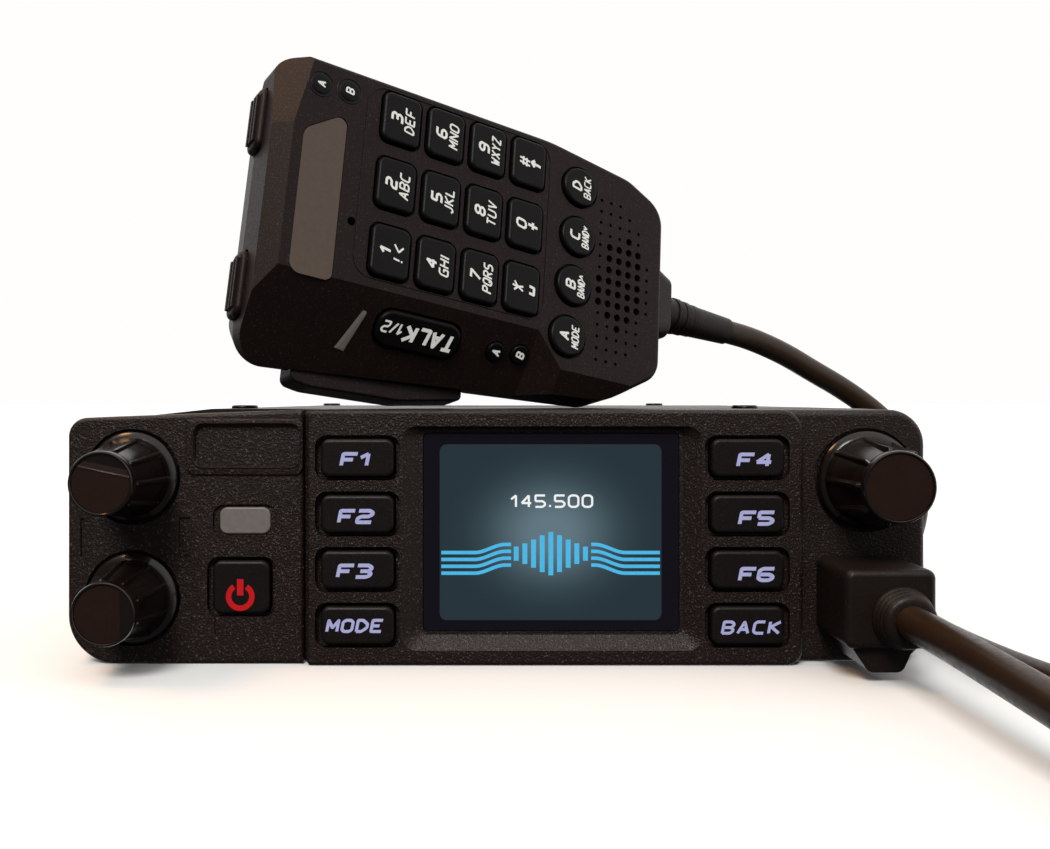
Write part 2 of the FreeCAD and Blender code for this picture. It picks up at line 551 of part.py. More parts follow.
PTT_POCKET = [(-37.6, -32, 0.3), (2.1, -32, 0.3), (2.1, -22.2, 0.6), (-37.6, -22.2, 0.6)]


def end_key_shape(v, grow, u0, u1):
    """Upright rounded block on the top end of the microphone, from u0 to u1."""
    outline = rectangle(v, END_KEY_W, 13.6 + 2 * grow, 6.2 + 2 * grow, 2.0)
    wire = rounded_wire(outline, lambda a, b: Vector(u0, a, b))
    return Part.Face(wire).extrude(Vector(u1 - u0, 0, 0))


def mic_openings():
    """Everything that passes through the shells, cut from both of them."""
    cuts = [prism_z(PTT_POCKET, PTT_BACK - 0.6, PTT_FRONT + 0.6)]
    for v in END_KEYS.values():
        cuts.append(end_key_shape(v, 0.3, -60, -44))
    return cuts


def mic_front_shell():
    """Front shell: flat face, sloping lower edge, key holes, window and speaker holes."""
    outline = wire_z(FACE_OUTLINE, MIC_SEAM)
    block = softened(Part.Face(outline).extrude(Vector(0, 0, -MIC_SEAM)), "z", 0, 1.1)
    block = block.cut([BEVEL_WEDGE, END_WEDGE])
    hollow = inset_prism_z(outline, MIC_WALL, -MIC_SEAM - MIC_WALL)
    inner_bevel, inner_end = BEVEL_WEDGE.copy(), END_WEDGE.copy()
    inner_bevel.translate(BEVEL_OUT * -MIC_WALL)
    inner_end.translate(Vector(1.5, 0, -1.5))
    hollow = hollow.cut([inner_bevel, inner_end])
    cuts = [hollow] + mic_openings()
    for u, v in PAD_KEYS.values():
        cuts.append(prism_z(rectangle(u, v, PAD_KEY_U + 1.0, PAD_KEY_V + 1.0, 2.2), -0.6, 1))
        cuts.append(prism_z(rectangle(u, v, PAD_KEY_U + 0.4, PAD_KEY_V + 0.4, PAD_KEY_R), -4, 1))
        cuts.append(prism_z(rectangle(u, v, PAD_KEY_U + 1.5, PAD_KEY_V + 0.9, 0.5), -6, -MIC_WALL))
    for u, v in ROUND_KEYS.values():
        cuts.append(disc_z(u, v, ROUND_R + 0.5, -0.6, 1))
        cuts.append(disc_z(u, v, ROUND_R + 0.2, -4, 1))
    cuts.append(prism_z(WINDOW, -4, 1))
    cuts.append(disc_z(-32.1, 0.9, 0.9, -4, 1))
    u, y, width, height = SUB_KEY
    cuts.append(on_bevel(prism_z(rectangle(u, y, width + 1.0, height + 1.0, 3.4), -0.6, 3)))
    cuts.append(on_bevel(prism_z(rectangle(u, y, width + 0.4, height + 0.4, 3.2), -4, 3)))
    for u, y in BAND_KEYS.values():
        cuts.append(on_bevel(disc_z(u, y, BAND_R + 0.2, -4, 3)))
    for u, v, radius in grille_holes():
        cuts.append(disc_z(u, v, radius, -4, 1))
    shell = block.cut(cuts)
    lumps = [disc_z(u, v, 3.0, MIC_SEAM, top) for u, v, top in MIC_BOSSES]
    lumps += [box(u0, u1, v - 1.0, v + 1.0, MIC_SEAM, -5.5) for u0, u1, v in MIC_WEBS]
    shell = fused(shell, lumps)
    return shell.cut([disc_z(u, v, 1.3, MIC_SEAM - 1, -6.5) for u, v, top in MIC_BOSSES])


def grille_holes():
    """Rows of small speaker holes, with larger ones in an oval at the middle."""
    holes = []
    for i in range(6):
        for j in range(-7, 8):
            u = 28.2 + 2.7 * i
            v = 4.0 + 2.7 * j
            inside = u < 42.8 - 0.02 * (v - 4) ** 2
            large = ((u - 34.3) / 6.5) ** 2 + ((v - 4 - 0.35 * (u - 34.3)) / 11.0) ** 2 < 1
            if inside:
                holes.append((u, v, 0.85 if large else 0.4))
    return holes


def mic_rear_shell():
    """Rear shell: a tapered tub with screw columns."""
    outer = Part.makeLoft([wire_z(BACK_OUTLINE, MIC_BACK), wire_z(FACE_OUTLINE, MIC_SEAM)], True, True)
    outer = softened(outer, "z", MIC_BACK, 2.4)
    inner = Part.makeLoft([wire_z(BACK_OUTLINE, MIC_BACK + 2.4).makeOffset2D(-MIC_WALL),
                           wire_z(FACE_OUTLINE, MIC_SEAM + 0.01).makeOffset2D(-MIC_WALL)], True, True)
    shell = outer.cut([inner] + mic_openings())
    columns = [disc_z(u, v, 3.2, MIC_BACK + 1.5, MIC_SEAM) for u, v, top in MIC_BOSSES]
    columns = [column.common(outer) for column in columns]
    shell = fused(shell, columns)
    holes = [disc_z(u, v, 1.35, MIC_BACK - 1, MIC_SEAM + 1) for u, v, top in MIC_BOSSES]
    holes += [disc_z(u, v, 2.5, MIC_BACK - 1, -18.0) for u, v, top in MIC_BOSSES]
    holes.append(disc_z(0, 5, 2.0, MIC_BACK - 1, -20))
    holes.append(relief_neck(0.2))
    return shell.cut(holes)


def relief_neck(grow):
    """The part of the strain relief that the shells clamp."""
    half_v, half_w = 6.0 + grow, 2.9 + grow
    return box(42.2 - grow, 47.0, RELIEF_V - half_v, RELIEF_V + half_v, -12.0 - 2 * half_w, -12.0)


def mic_strain_relief():
    """Rubber strain relief: a flat collar against the shell and a ribbed taper round the lead."""
    rear = rounded_wire(rectangle(RELIEF_V + 1, RELIEF_W, 19.0, 12.0, 3.0), lambda a, b: Vector(46.2, a, b))
    tip = rounded_wire(rectangle(RELIEF_V + 0.5, RELIEF_W, 15.0, 10.0, 3.0), lambda a, b: Vector(52.5, a, b))
    collar = Part.makeLoft([rear, tip], True, True)
    along = Vector(1, 0, 0)
    taper = Part.makeCone(4.3, 3.3, RELIEF_END_U - 52.0, Vector(52.0, RELIEF_V, RELIEF_W), along)
    rings = [Part.makeCylinder(4.4 - 0.09 * i * 2.6, 1.3, Vector(56.0 + 2.6 * i, RELIEF_V, RELIEF_W), along)
             for i in range(4)]
    return fused(collar, [taper, relief_neck(0)] + rings)


def mic_round_key(u, v, radius, proud):
    """Round key with a rim under the face and a small foot."""
    cap = softened(disc_z(u, v, radius, -5.0, proud), "z", proud, 0.7)
    rim = disc_z(u, v, radius + 0.6, -3.6, -2.8)
    return fused(cap, [rim, disc_z(u, v, 1.6, MIC_KEY_BACK, -4.9)])


def mic_rect_key(u, v):
    """Oblong key with a rim under the face and a small foot."""
    cap = prism_z(rectangle(u, v, PAD_KEY_U, PAD_KEY_V, PAD_KEY_R), -5.0, MIC_PROUD)
    cap = softened(cap, "z", MIC_PROUD, 0.8)
    rim = prism_z(rectangle(u, v, PAD_KEY_U + 1.2, PAD_KEY_V + 0.5, 2.0), -3.6, -2.8)
    return fused(cap, [rim, disc_z(u, v, 1.6, MIC_KEY_BACK, -4.9)])


def sub_ptt():
    u, y, width, height = SUB_KEY
    cap = softened(prism_z(rectangle(u, y, width, height, 3.2), -3.6, 0.9), "z", 0.9, 0.7)
    rim = prism_z(rectangle(u, y, width + 1.2, height + 1.2, 3.4), -3.9, -3.2)
    return on_bevel(fused(cap, [rim]))


def band_key(u, y):
    return on_bevel(softened(disc_z(u, y, BAND_R, -4.0, 0.6), "z", 0.6, 0.4))


def ptt_bar():
    """Push-to-talk bar, let into the lower side."""
    bar = prism_z(PTT_OUTLINE, PTT_BACK, PTT_FRONT)
    return softened(bar, "z", PTT_FRONT, 0.5)


def end_key(v):
    """Up or down key on the top end, with a finger rib."""
    front = MIC_END - 1.2
    key = end_key_shape(v, 0, front, -44.5)
    key = softened(key, "x", front, 1.0)
    ribs = [box(front - 0.5, front + 0.4, v - 5.0, v + 5.0, w - 0.4, w + 0.4)
            for w in (END_KEY_W - 1.6, END_KEY_W, END_KEY_W + 1.6)]
    return fused(key, ribs)


def mic_board():
    """Microphone circuit board with its key domes and the display block."""
    board = prism_z(rectangle(-5.5, 8.6, 63.0, 37.0, 2.0), MIC_BOARD_FRONT - MIC_BOARD_T, MIC_BOARD_FRONT)
    places = list(PAD_KEYS.values()) + list(ROUND_KEYS.values())
    domes = [disc_z(u, v, 2.4, MIC_BOARD_FRONT - 0.2, MIC_BOARD_FRONT + 0.7) for u, v in places if v > -9]
    display = box(-36.6, -35.4, -8, 16, MIC_BOARD_FRONT - 0.2, -3.0)
    clearance = disc_z(-31.5, 23.0, 3.5, -12, -5)
    return fused(board, domes + [display]).cut(clearance)


def mic_screw(u, v):
    head = disc_z(u, v, 2.3, -19.6, -18.0)
    shank = disc_z(u, v, 1.2, -18.2, -7.0)
    slot = box(u - 1.6, u + 1.6, v - 0.3, v + 0.3, -20, -19.0)
    return fused(head, [shank]).cut(slot)


def hang_stud():
    """Metal hang-up button on the back."""
    head = softened(disc_z(0, 5, 5.2, -31.0, -28.6), "z", -31.0, 0.9)
    neck = disc_z(0, 5, 3.0, -28.8, MIC_BACK)
    shank = disc_z(0, 5, 1.9, MIC_BACK - 0.5, -21.0)
    return fused(head, [neck, shank])


def mic_speaker():
    frame = disc_z(31.5, 4.0, 9.6, -13.0, -9.6)
    magnet = disc_z(31.5, 4.0, 6.0, -18.0, -12.9)
    return fused(frame, [magnet])


add_mic("mic_front_shell", mic_front_shell())
add_mic("mic_rear_shell", mic_rear_shell())
add_mic("mic_display_window", prism_z([(a + (0.1 if a < -40 else -0.1), b * 0.994, r) for a, b, r in WINDOW],
                                      -2.4, -0.1))
add_mic("mic_board", mic_board())
add_mic("mic_speaker", mic_speaker())
add_mic("mic_hang_stud", hang_stud())
add_mic("mic_strain_relief", mic_strain_relief())
add_mic("mic_screws", *[mic_screw(u, v) for u, v, top in MIC_BOSSES])
for name, (u, v) in PAD_KEYS.items():
    add_mic(name, mic_rect_key(u, v))
for letter, (u, v) in ROUND_KEYS.items():
    add_mic("mic_key_" + letter, mic_round_key(u, v, ROUND_R, MIC_PROUD))
for name, (u, y) in BAND_KEYS.items():
    add_mic(name, band_key(u, y))
add_mic("mic_sub_ptt", sub_ptt())
add_mic("mic_ptt_bar", ptt_bar())
for name, v in END_KEYS.items():
    add_mic(name, end_key(v))


# ---------------------------------------------------------------- the lead

def cord_tube(points, radius):
    """A round tube along straight runs joined by tangent arcs, each as large as its runs allow."""
    points = [Vector(*p) for p in points]
    edges = []
    radii = []
    start = points[0]
    for before, here, after in zip(points, points[1:], points[2:]):
        back, ahead = before - here, after - here
        shorter = min(back.Length, ahead.Length)
        reach = 0.45 * shorter
        back.normalize()
        ahead.normalize()
        half_turn = (math.pi - back.getAngle(ahead)) / 2
        arc_radius = reach / math.tan(half_turn)
        radii.append(arc_radius)
        inward = (back + ahead).normalize()
        middle = here + inward * (arc_radius / math.cos(half_turn) - arc_radius)
        arc_start, arc_end = here + back * reach, here + ahead * reach
        edges.append(Part.LineSegment(start, arc_start).toShape())
        edges.append(Part.Arc(arc_start, middle, arc_end).toShape())
        start = arc_end
    edges.append(Part.LineSegment(start, points[-1]).toShape())
    path = Part.Wire(edges)
    section = Part.Wire(Part.makeCircle(radius, points[0], points[1] - points[0]))
    tube = path.makePipeShell([section], True, False)
    print("cord: length", round(path.Length, 1), "volume/section/length",
          round(tube.Volume / (math.pi * radius ** 2 * path.Length), 4),
          "radii", [round(r, 1) for r in radii])
    return tube


relief_end = MIC_PLACE.multVec(Vector(RELIEF_END_U, RELIEF_V, RELIEF_W))
relief_way = MIC_PLACE.multVec(Vector(RELIEF_END_U + 9.0, RELIEF_V, RELIEF_W))
mic_lead = [tuple(relief_end), tuple(relief_way)] + MIC_LEAD_MIDDLE + [(CURL_X, CURL_REAR, CURL_Z)]
print("lead leaves the relief at", [round(c, 2) for c in relief_end], [round(c, 2) for c in relief_way])
add("cord_front_lead", cord_tube(FRONT_LEAD, CORD_R))
add("cord_mic_lead", cord_tube(mic_lead, CORD_R))
add("cord_curly_section", disc_y(CURL_X, CURL_Z, CURL_R, CURL_FRONT, CURL_REAR))


# ---------------------------------------------------------------- write the nodes

os.makedirs("parts", exist_ok=True)
for name, shape in parts.items():
    if not shape.isValid():
        print("NOT VALID", name)
    if any(solid.Volume <= 0 for solid in shape.Solids) or not shape.Solids:
        print("NO VOLUME", name)
    shape.exportStep("parts/" + name + ".step")
print(len(parts), "nodes")
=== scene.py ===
"""Looks of a mobile transceiver with a keypad hand microphone on its lid and a curly lead.

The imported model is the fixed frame. This add-on gives every part its finish, and makes the
knobs, the lead, the legends, the display's picture and the small mouldings as surfaces.
Metres, +Z up, front towards -Y.
"""
import math

import bpy
import numpy as np
from mathutils import Matrix, Vector


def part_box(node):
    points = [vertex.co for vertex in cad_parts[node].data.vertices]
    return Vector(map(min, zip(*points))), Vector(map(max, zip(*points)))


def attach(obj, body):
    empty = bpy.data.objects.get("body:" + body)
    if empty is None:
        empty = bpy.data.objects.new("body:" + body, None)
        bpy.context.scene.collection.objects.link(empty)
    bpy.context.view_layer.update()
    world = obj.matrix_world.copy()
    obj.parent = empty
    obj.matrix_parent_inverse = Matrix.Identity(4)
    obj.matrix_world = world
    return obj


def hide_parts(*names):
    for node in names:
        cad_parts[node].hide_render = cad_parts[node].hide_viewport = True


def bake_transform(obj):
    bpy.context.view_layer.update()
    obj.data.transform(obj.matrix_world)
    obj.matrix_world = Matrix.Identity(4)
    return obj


bl_info = {
    "name": "Mobile transceiver",
    "version": (1, 0, 0),
    "blender": (4, 5, 0),
    "location": "3D View > Sidebar > Transceiver",
    "description": "Finishes, knobs, legends and lead of a mobile transceiver with hand microphone",
    "category": "Object",
}

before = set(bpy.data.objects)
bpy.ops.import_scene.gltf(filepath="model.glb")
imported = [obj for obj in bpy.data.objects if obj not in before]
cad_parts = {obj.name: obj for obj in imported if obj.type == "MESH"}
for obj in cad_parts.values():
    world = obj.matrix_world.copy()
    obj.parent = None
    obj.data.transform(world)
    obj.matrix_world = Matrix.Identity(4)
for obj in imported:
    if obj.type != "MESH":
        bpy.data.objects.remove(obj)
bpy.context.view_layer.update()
MM = 0.001


# ---------------------------------------------------------------- places, as the frame has them

# The y of the radio's faces, and the tops of the microphone's keys over its own face, in millimetres.
PANEL_Y, WINDOW_Y, KEY_Y, POWER_KEY_Y, BOOT_Y = -93.5, -93.3, -95.6, -94.1, -108.2
PAD_TOP, BAND_TOP = 0.9, 0.6


def plane(origin, right, up, out):
    """A 3 by 4 placing of points (right, up, out) in the frame: three directions and an origin."""
    return np.column_stack([right, up, out, origin])


def panel_plane(x, z, y):
    """A plane on the radio's front, at y in millimetres, seen from the front."""
    return plane((x * MM, y * MM, z * MM), (1, 0, 0), (0, 0, 1), (0, -1, 0))


# The microphone: turned, leaned back and sloped, in degrees; then its middle.
MIC_YAW, MIC_LEAN, MIC_SLOPE = 32.0, 10.5, 10.6
MIC_TURN = np.array(Matrix.Rotation(math.radians(MIC_YAW), 3, "Z")
                    @ Matrix.Rotation(math.radians(-MIC_LEAN), 3, "X")
                    @ Matrix.Rotation(math.radians(MIC_SLOPE), 3, "Y")
                    @ Matrix.Rotation(math.radians(90.0), 3, "X"))
MIC_CENTRE = np.array([-0.9, -65.1, 77.2]) * MM
ALONG, ACROSS, OUT = MIC_TURN.T
# The sloping lower edge falls 8 mm over 12.5 mm across the face, about this middle.
BEVEL_ANGLE = math.atan2(8.0, 12.5)
BEVEL_MIDDLE = (-17.75, -4.0)


def mic_point(u, v, w):
    """A point of the microphone, from millimetres along, across and out of its face."""
    return MIC_CENTRE + (u * ALONG + v * ACROSS + w * OUT) * MM


def face_plane(u, v, w, turned=True):
    """A plane on the microphone's face; turned legends read across it, tops to the display end."""
    if turned:
        return plane(mic_point(u, v, w), ACROSS, -ALONG, OUT)
    return plane(mic_point(u, v, w), ALONG, ACROSS, OUT)


def bevel_plane(u, y, w, turn):
    """A plane on the sloping lower edge; turn is in radians from along the microphone."""
    up = math.cos(BEVEL_ANGLE) * ACROSS + math.sin(BEVEL_ANGLE) * OUT
    out = math.cos(BEVEL_ANGLE) * OUT - math.sin(BEVEL_ANGLE) * ACROSS
    origin = mic_point(u, *BEVEL_MIDDLE) + (y * up + w * out) * MM
    right = math.cos(turn) * ALONG + math.sin(turn) * up
    return plane(origin, right, math.cos(turn) * up - math.sin(turn) * ALONG, out)


# ---------------------------------------------------------------- colours

def linear(hex_colour):
    """An sRGB hex value as the linear red, green and blue that shaders take."""
    srgb = np.array([int(hex_colour[i:i + 2], 16) for i in (1, 3, 5)]) / 255
    return tuple(np.where(srgb <= 0.04045, srgb / 12.92, ((srgb + 0.055) / 1.055) ** 2.4))


def colour_setting(name, description, hex_colour):
    """A colour that a user may change."""
    return bpy.props.FloatVectorProperty(name=name, description=description, subtype="COLOR",
                                         size=3, min=0, max=1, default=linear(hex_colour))


def length_setting(name, description, millimetres):
    """A length that a user may change."""
    return bpy.props.FloatProperty(name=name, description=description, subtype="DISTANCE",
                                   unit="LENGTH", min=0, default=millimetres * MM, precision=5)


# ---------------------------------------------------------------- settings

class LeadSettings(bpy.types.PropertyGroup):
    """The microphone lead: one round cable, straight at both ends and wound over its middle."""
    thickness: length_setting("Thickness", "Outer diameter of the cable", 5.8)
    curl_radius: length_setting("Curl radius", "From the curl's axis to the cable's middle", 5.5)
    curl_turns: bpy.props.IntProperty(name="Turns", description="Turns of the curl", min=4, default=16)
    sides: bpy.props.IntProperty(name="Sides", description="Faces round the cable", min=8, default=20)


class KnobSettings(bpy.types.PropertyGroup):
    """The three knobs: tapered, with narrow raised ribs and a shallow dished cap."""
    ribs: bpy.props.IntProperty(name="Ribs", description="Raised ribs round a knob", min=3, default=9)
    rib_height: length_setting("Rib height", "How far a rib stands out of the taper", 0.7)
    rib_width: length_setting("Rib width", "Width of a rib", 1.2)
    dish: length_setting("Dish", "Depth of the cap inside its rim", 0.3)


class LegendSettings(bpy.types.PropertyGroup):
    """Printed legends on the radio and the microphone."""
    radio_height: length_setting("Radio legends", "Height of the front panel's letters", 2.78)
    digit_height: length_setting("Digits", "Height of the microphone's digits", 2.75)
    letter_height: length_setting("Letters", "Height of the letters beside the digits", 2.35)
    ink: length_setting("Ink", "Thickness of the printed film", 0.05)


class ColourSettings(bpy.types.PropertyGroup):
    """Colours of the finishes."""
    case: colour_setting("Case", "Moulded front of the radio", "#1d110c")
    microphone: colour_setting("Microphone", "Moulded shells of the microphone", "#190e0c")
    keys: colour_setting("Keys", "Rubber keys of the radio", "#130e0d")
    pad: colour_setting("Keypad", "Rubber keys of the microphone", "#0b0909")
    knobs: colour_setting("Knobs", "Polished knobs", "#130c09")
    caps: colour_setting("Knob caps", "Matt discs on the knobs", "#24150f")
    rubber: colour_setting("Rubber", "Plug boot and strain relief", "#170e0a")
    jacket: colour_setting("Cord", "Jacket of the lead", "#2b1a0b")
    legend: colour_setting("Legends", "Ink of the radio's legends", "#b1b2de")
    mic_legend: colour_setting("Microphone legends", "Ink of the microphone's legends", "#e6e6e0")
    power: colour_setting("Power mark", "Ink of the power symbol", "#c4161c")
    screen: colour_setting("Screen", "Lit ground of the display", "#566a73")
    reading: colour_setting("Reading", "Digits on the display", "#f4f6f6")
    level: colour_setting("Level lines", "Lines on the display", "#4cb9e8")
    lens: colour_setting("Lamp lens", "Lens of the status lamp", "#77706c")
    window: colour_setting("Window", "Unlit window of the microphone", "#53463d")


class StageSettings(bpy.types.PropertyGroup):
    """Camera, floor and lights."""
    lens: bpy.props.FloatProperty(name="Lens", description="Focal length on a 36 mm sensor",
                                  min=10, default=38.33)
    floor: colour_setting("Floor", "Pale paper floor", "#f8f8f7")
    sun: bpy.props.FloatProperty(name="Key light", description="Strength of the broad main light",
                                 min=0, default=2.3)
    rim_power: bpy.props.FloatProperty(name="Rim light", description="Power of the warm upper light",
                                       subtype="POWER", min=0, default=0.8)
    room: bpy.props.FloatProperty(name="Room", description="Strength of the room's light",
                                  min=0, default=1.0)


class TransceiverSettings(bpy.types.PropertyGroup):
    """Everything that a user would change."""
    lead: bpy.props.PointerProperty(type=LeadSettings)
    knobs: bpy.props.PointerProperty(type=KnobSettings)
    legends: bpy.props.PointerProperty(type=LegendSettings)
    colours: bpy.props.PointerProperty(type=ColourSettings)
    stage: bpy.props.PointerProperty(type=StageSettings)


# ---------------------------------------------------------------- surfaces

def ring_faces(rings, around):
    """Quads between neighbouring closed rings of equally many points."""
    row, column = np.meshgrid(np.arange(rings - 1), np.arange(around), indexing="ij")
    here = row * around + column
    beside = row * around + (column + 1) % around
    return np.stack([here, beside, beside + around, here + around], axis=-1).reshape(-1, 4)


def closed_loft(rings):
    """A skin through closed rings, given as rings by points by three, with a fan on each end.

    The surface runs straight from ring to ring; each end closes on the mean of its ring.
    """
    count, around = rings.shape[:2]
    points = np.vstack([rings.reshape(-1, 3), rings[0].mean(0), rings[-1].mean(0)])
    first, last = count * around, count * around + 1
    near = np.arange(around)
    beside = (near + 1) % around
    far = near + (count - 1) * around
    fans = np.vstack([np.column_stack([beside, near, np.full(around, first)]),
                      np.column_stack([far, beside + (count - 1) * around, np.full(around, last)])])
    return points, ring_faces(count, around).tolist() + fans.tolist()


def closed_band(rings):
    """A skin through closed rings that joins its last ring to its first, like a frame."""
    count, around = rings.shape[:2]
    return rings.reshape(-1, 3), (ring_faces(count + 1, around) % (count * around)).tolist()


def soft_rectangle(width, height, radius, per_corner=9):
    """Points round a rectangle whose corners are quarter circles of one radius."""
    turn = np.linspace(0, math.pi / 2, per_corner)
    quarter = np.concatenate([turn + i * math.pi / 2 for i in range(4)])
    side = np.repeat([[1, 1], [-1, 1], [-1, -1], [1, -1]], per_corner, axis=0)
    middle = side * (np.array([width, height]) / 2 - radius)
    return middle + radius * np.column_stack([np.cos(quarter), np.sin(quarter)])


def stepped(outer, inner, section):
    """Rings between two outlines of equally many points, in millimetres.

    Each (share, height) of the section goes that share of the way from outer to inner.
    """
    return np.stack([np.column_stack([outer + (inner - outer) * share, np.full(len(outer), height)])
                     for share, height in section]) * MM


def ribbon(line, width, low, high):
    """A flat bar along a line in a plane: each ring is a rectangle set square to the line.

    At a bend the rectangle is as wide as both runs need to stay parallel, up to twice the width.
    """
    step = np.diff(line, axis=0)
    step /= np.linalg.norm(step, axis=1)[:, None]
    before = np.vstack([step[:1], step])
    after = np.vstack([step, step[-1:]])
    across = before + after
    across = np.column_stack([-across[:, 1], across[:, 0]])
    across /= np.linalg.norm(across, axis=1)[:, None]
    square = np.column_stack([-before[:, 1], before[:, 0]])
    half = 0.5 * width / np.maximum((across * square).sum(1), 0.5)
    left, right = line + across * half[:, None], line - across * half[:, None]
    rings = [np.column_stack([edge, np.full(len(line), level)])
             for edge, level in ((left, high), (left, low), (right, low), (right, high))]
    return np.stack(rings, axis=1)


def rounded(line, cut, steps=6, most=0.45):
    """A polyline with each corner replaced by a parabola that touches both runs at the cut.

    On a short run the cut is the given share of the run at most.
    """
    if len(line) < 3:
        return line
    before, here, after = line[:-2], line[1:-1], line[2:]

    def towards(other):
        way = other - here
        reach = np.linalg.norm(way, axis=1)[:, None]
        return here + way / reach * np.minimum(cut, most * reach)
    start, end = towards(before)[:, None], towards(after)[:, None]
    t = np.linspace(0, 1, steps)[None, :, None]
    curve = (1 - t) ** 2 * start + 2 * t * (1 - t) * here[:, None] + t ** 2 * end
    return np.vstack([line[:1], curve.reshape(-1, 2), line[-1:]])


def turned(profile, around, ridge):
    """A turned shape: (height, radius, rib) rows carried round an axis.

    The radius at each angle is the row's radius plus its rib times the ridge's height there.
    """
    angle = np.linspace(0, 2 * math.pi, around, endpoint=False)
    height, radius, rib = np.array(profile).T[:, :, None]
    reach = radius + rib * ridge(angle)[None]
    return np.stack([reach * np.cos(angle), reach * np.sin(angle), height + 0 * reach], axis=-1)


def tube(path, radius, sides):
    """A round skin along a path; each ring starts where the ring before it did, made square."""
    way = np.gradient(path, axis=0)
    way /= np.linalg.norm(way, axis=1)[:, None]
    first = np.cross(way[0], (0, 0, 1))
    starts = []
    for direction in way:
        first = first - direction * (first @ direction)
        first = first / np.linalg.norm(first)
        starts.append(first)
    starts = np.array(starts)
    second = np.cross(way, starts)
    angle = np.linspace(0, 2 * math.pi, sides, endpoint=False)[None, :, None]
    round_it = np.cos(angle) * starts[:, None] + np.sin(angle) * second[:, None]
    return path[:, None] + radius * round_it


def placed(shell, where):
    """A shell whose points are (right, up, out) in metres, put in the frame by a plane."""
    points, faces = shell
    return points @ where[:, :3].T + where[:, 3], faces


def merged(shells):
    """Several closed shells as one list of points and one of faces."""
    points, faces, used = [], [], 0
    for some, corners in shells:
        points.append(some)
        faces += [[used + i for i in corner] for corner in corners]
        used += len(some)
    return np.vstack(points), faces


SHARP_EDGE = math.radians(34)


def add_piece(name, shells, finish, body, smooth=True):
    """Makes a mesh object from closed shells in the frame; it rides a body and takes a slot."""
    points, faces = merged(shells)
    mesh = bpy.data.meshes.new(name)
    mesh.from_pydata(points.tolist(), [], faces)
    mesh.update()
    mesh.materials.append(bpy.data.materials[finish])
    if smooth:
        mesh.shade_smooth()
        mesh.set_sharp_from_angle(angle=SHARP_EDGE)
    piece = bpy.data.objects.new(name, mesh)
    bpy.context.scene.collection.objects.link(piece)
    if body:
        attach(piece, body)
    return piece


# ---------------------------------------------------------------- lettering

# Each character as strokes on a grid 4 wide and 6 high, a stroke being pairs of x and y digits.
# The words are plain function words of this maker's own choice. The signs { and } print as a
# chevron pointing up and down, ^ as an arrow, and _ as an open box.
STROKES = {
    "0": "20 10 01 05 16 36 45 41 30 20", "1": "04 26, 26 20", "2": "06 36 45 44 33 13 02 00 40",
    "3": "06 36 45 44 33 42 41 30 00, 13 33", "4": "30 36, 36 02, 02 42",
    "5": "46 06 03, 03 33 42 41 30 00", "6": "46 16 05 01 10 30 41 42 33 03", "7": "06 46 10",
    "8": "23 13 04 05 16 36 45 44 33 23, 23 13 02 01 10 30 41 42 33 23",
    "9": "00 30 41 45 36 16 05 04 13 43", "A": "00 26 40, 12 32",
    "B": "00 06 36 45 44 33 03, 33 42 41 30 00", "C": "46 16 05 01 10 40",
    "D": "00 06 26 44 42 20 00", "E": "46 06 00 40, 03 33", "F": "00 06 46, 03 33",
    "G": "46 16 05 01 10 40 43 23", "H": "00 06, 03 43, 40 46", "I": "00 06", "J": "01 10 20 31 36",
    "K": "00 06, 03 46, 13 40", "L": "06 00 40", "M": "00 06 22 46 40", "N": "00 06 40 46",
    "O": "20 10 01 05 16 36 45 41 30 20", "P": "00 06 36 45 44 33 03",
    "Q": "20 10 01 05 16 36 45 41 30 20, 22 40", "R": "00 06 36 45 44 33 03, 23 40",
    "S": "46 16 05 04 13 33 42 41 30 00", "T": "06 46, 26 20", "U": "06 01 10 30 41 46",
    "V": "06 20 46", "W": "06 10 24 30 46", "X": "00 46, 06 40", "Y": "06 23 46, 23 20",
    "Z": "06 46 00 40", "+": "26 20, 03 43", "*": "23 26, 23 05, 23 45, 23 10, 23 30",
    "#": "10 16, 30 36, 02 42, 04 44", "/": "00 36", ".": "00 01", "_": "03 00 40 43",
    "^": "20 26, 04 26 44", "<": "46 03 40", "{": "02 25 42", "}": "05 22 45", "!": "26 22, 21 20",
}
GRID_WIDE, GRID_HIGH, SPACE = 4.0, 6.0, 3.0
NARROW = {"I": 0.6, "!": 0.6, ".": 0.6, "1": 2.6, "/": 3.2, "J": 3.4}
UPRIGHTS = "I!."
# How far a corner is rounded, in squares of the grid, and the step from stroke to stroke in metres.
CORNER_CUT, HAIR = 0.5, 2e-6

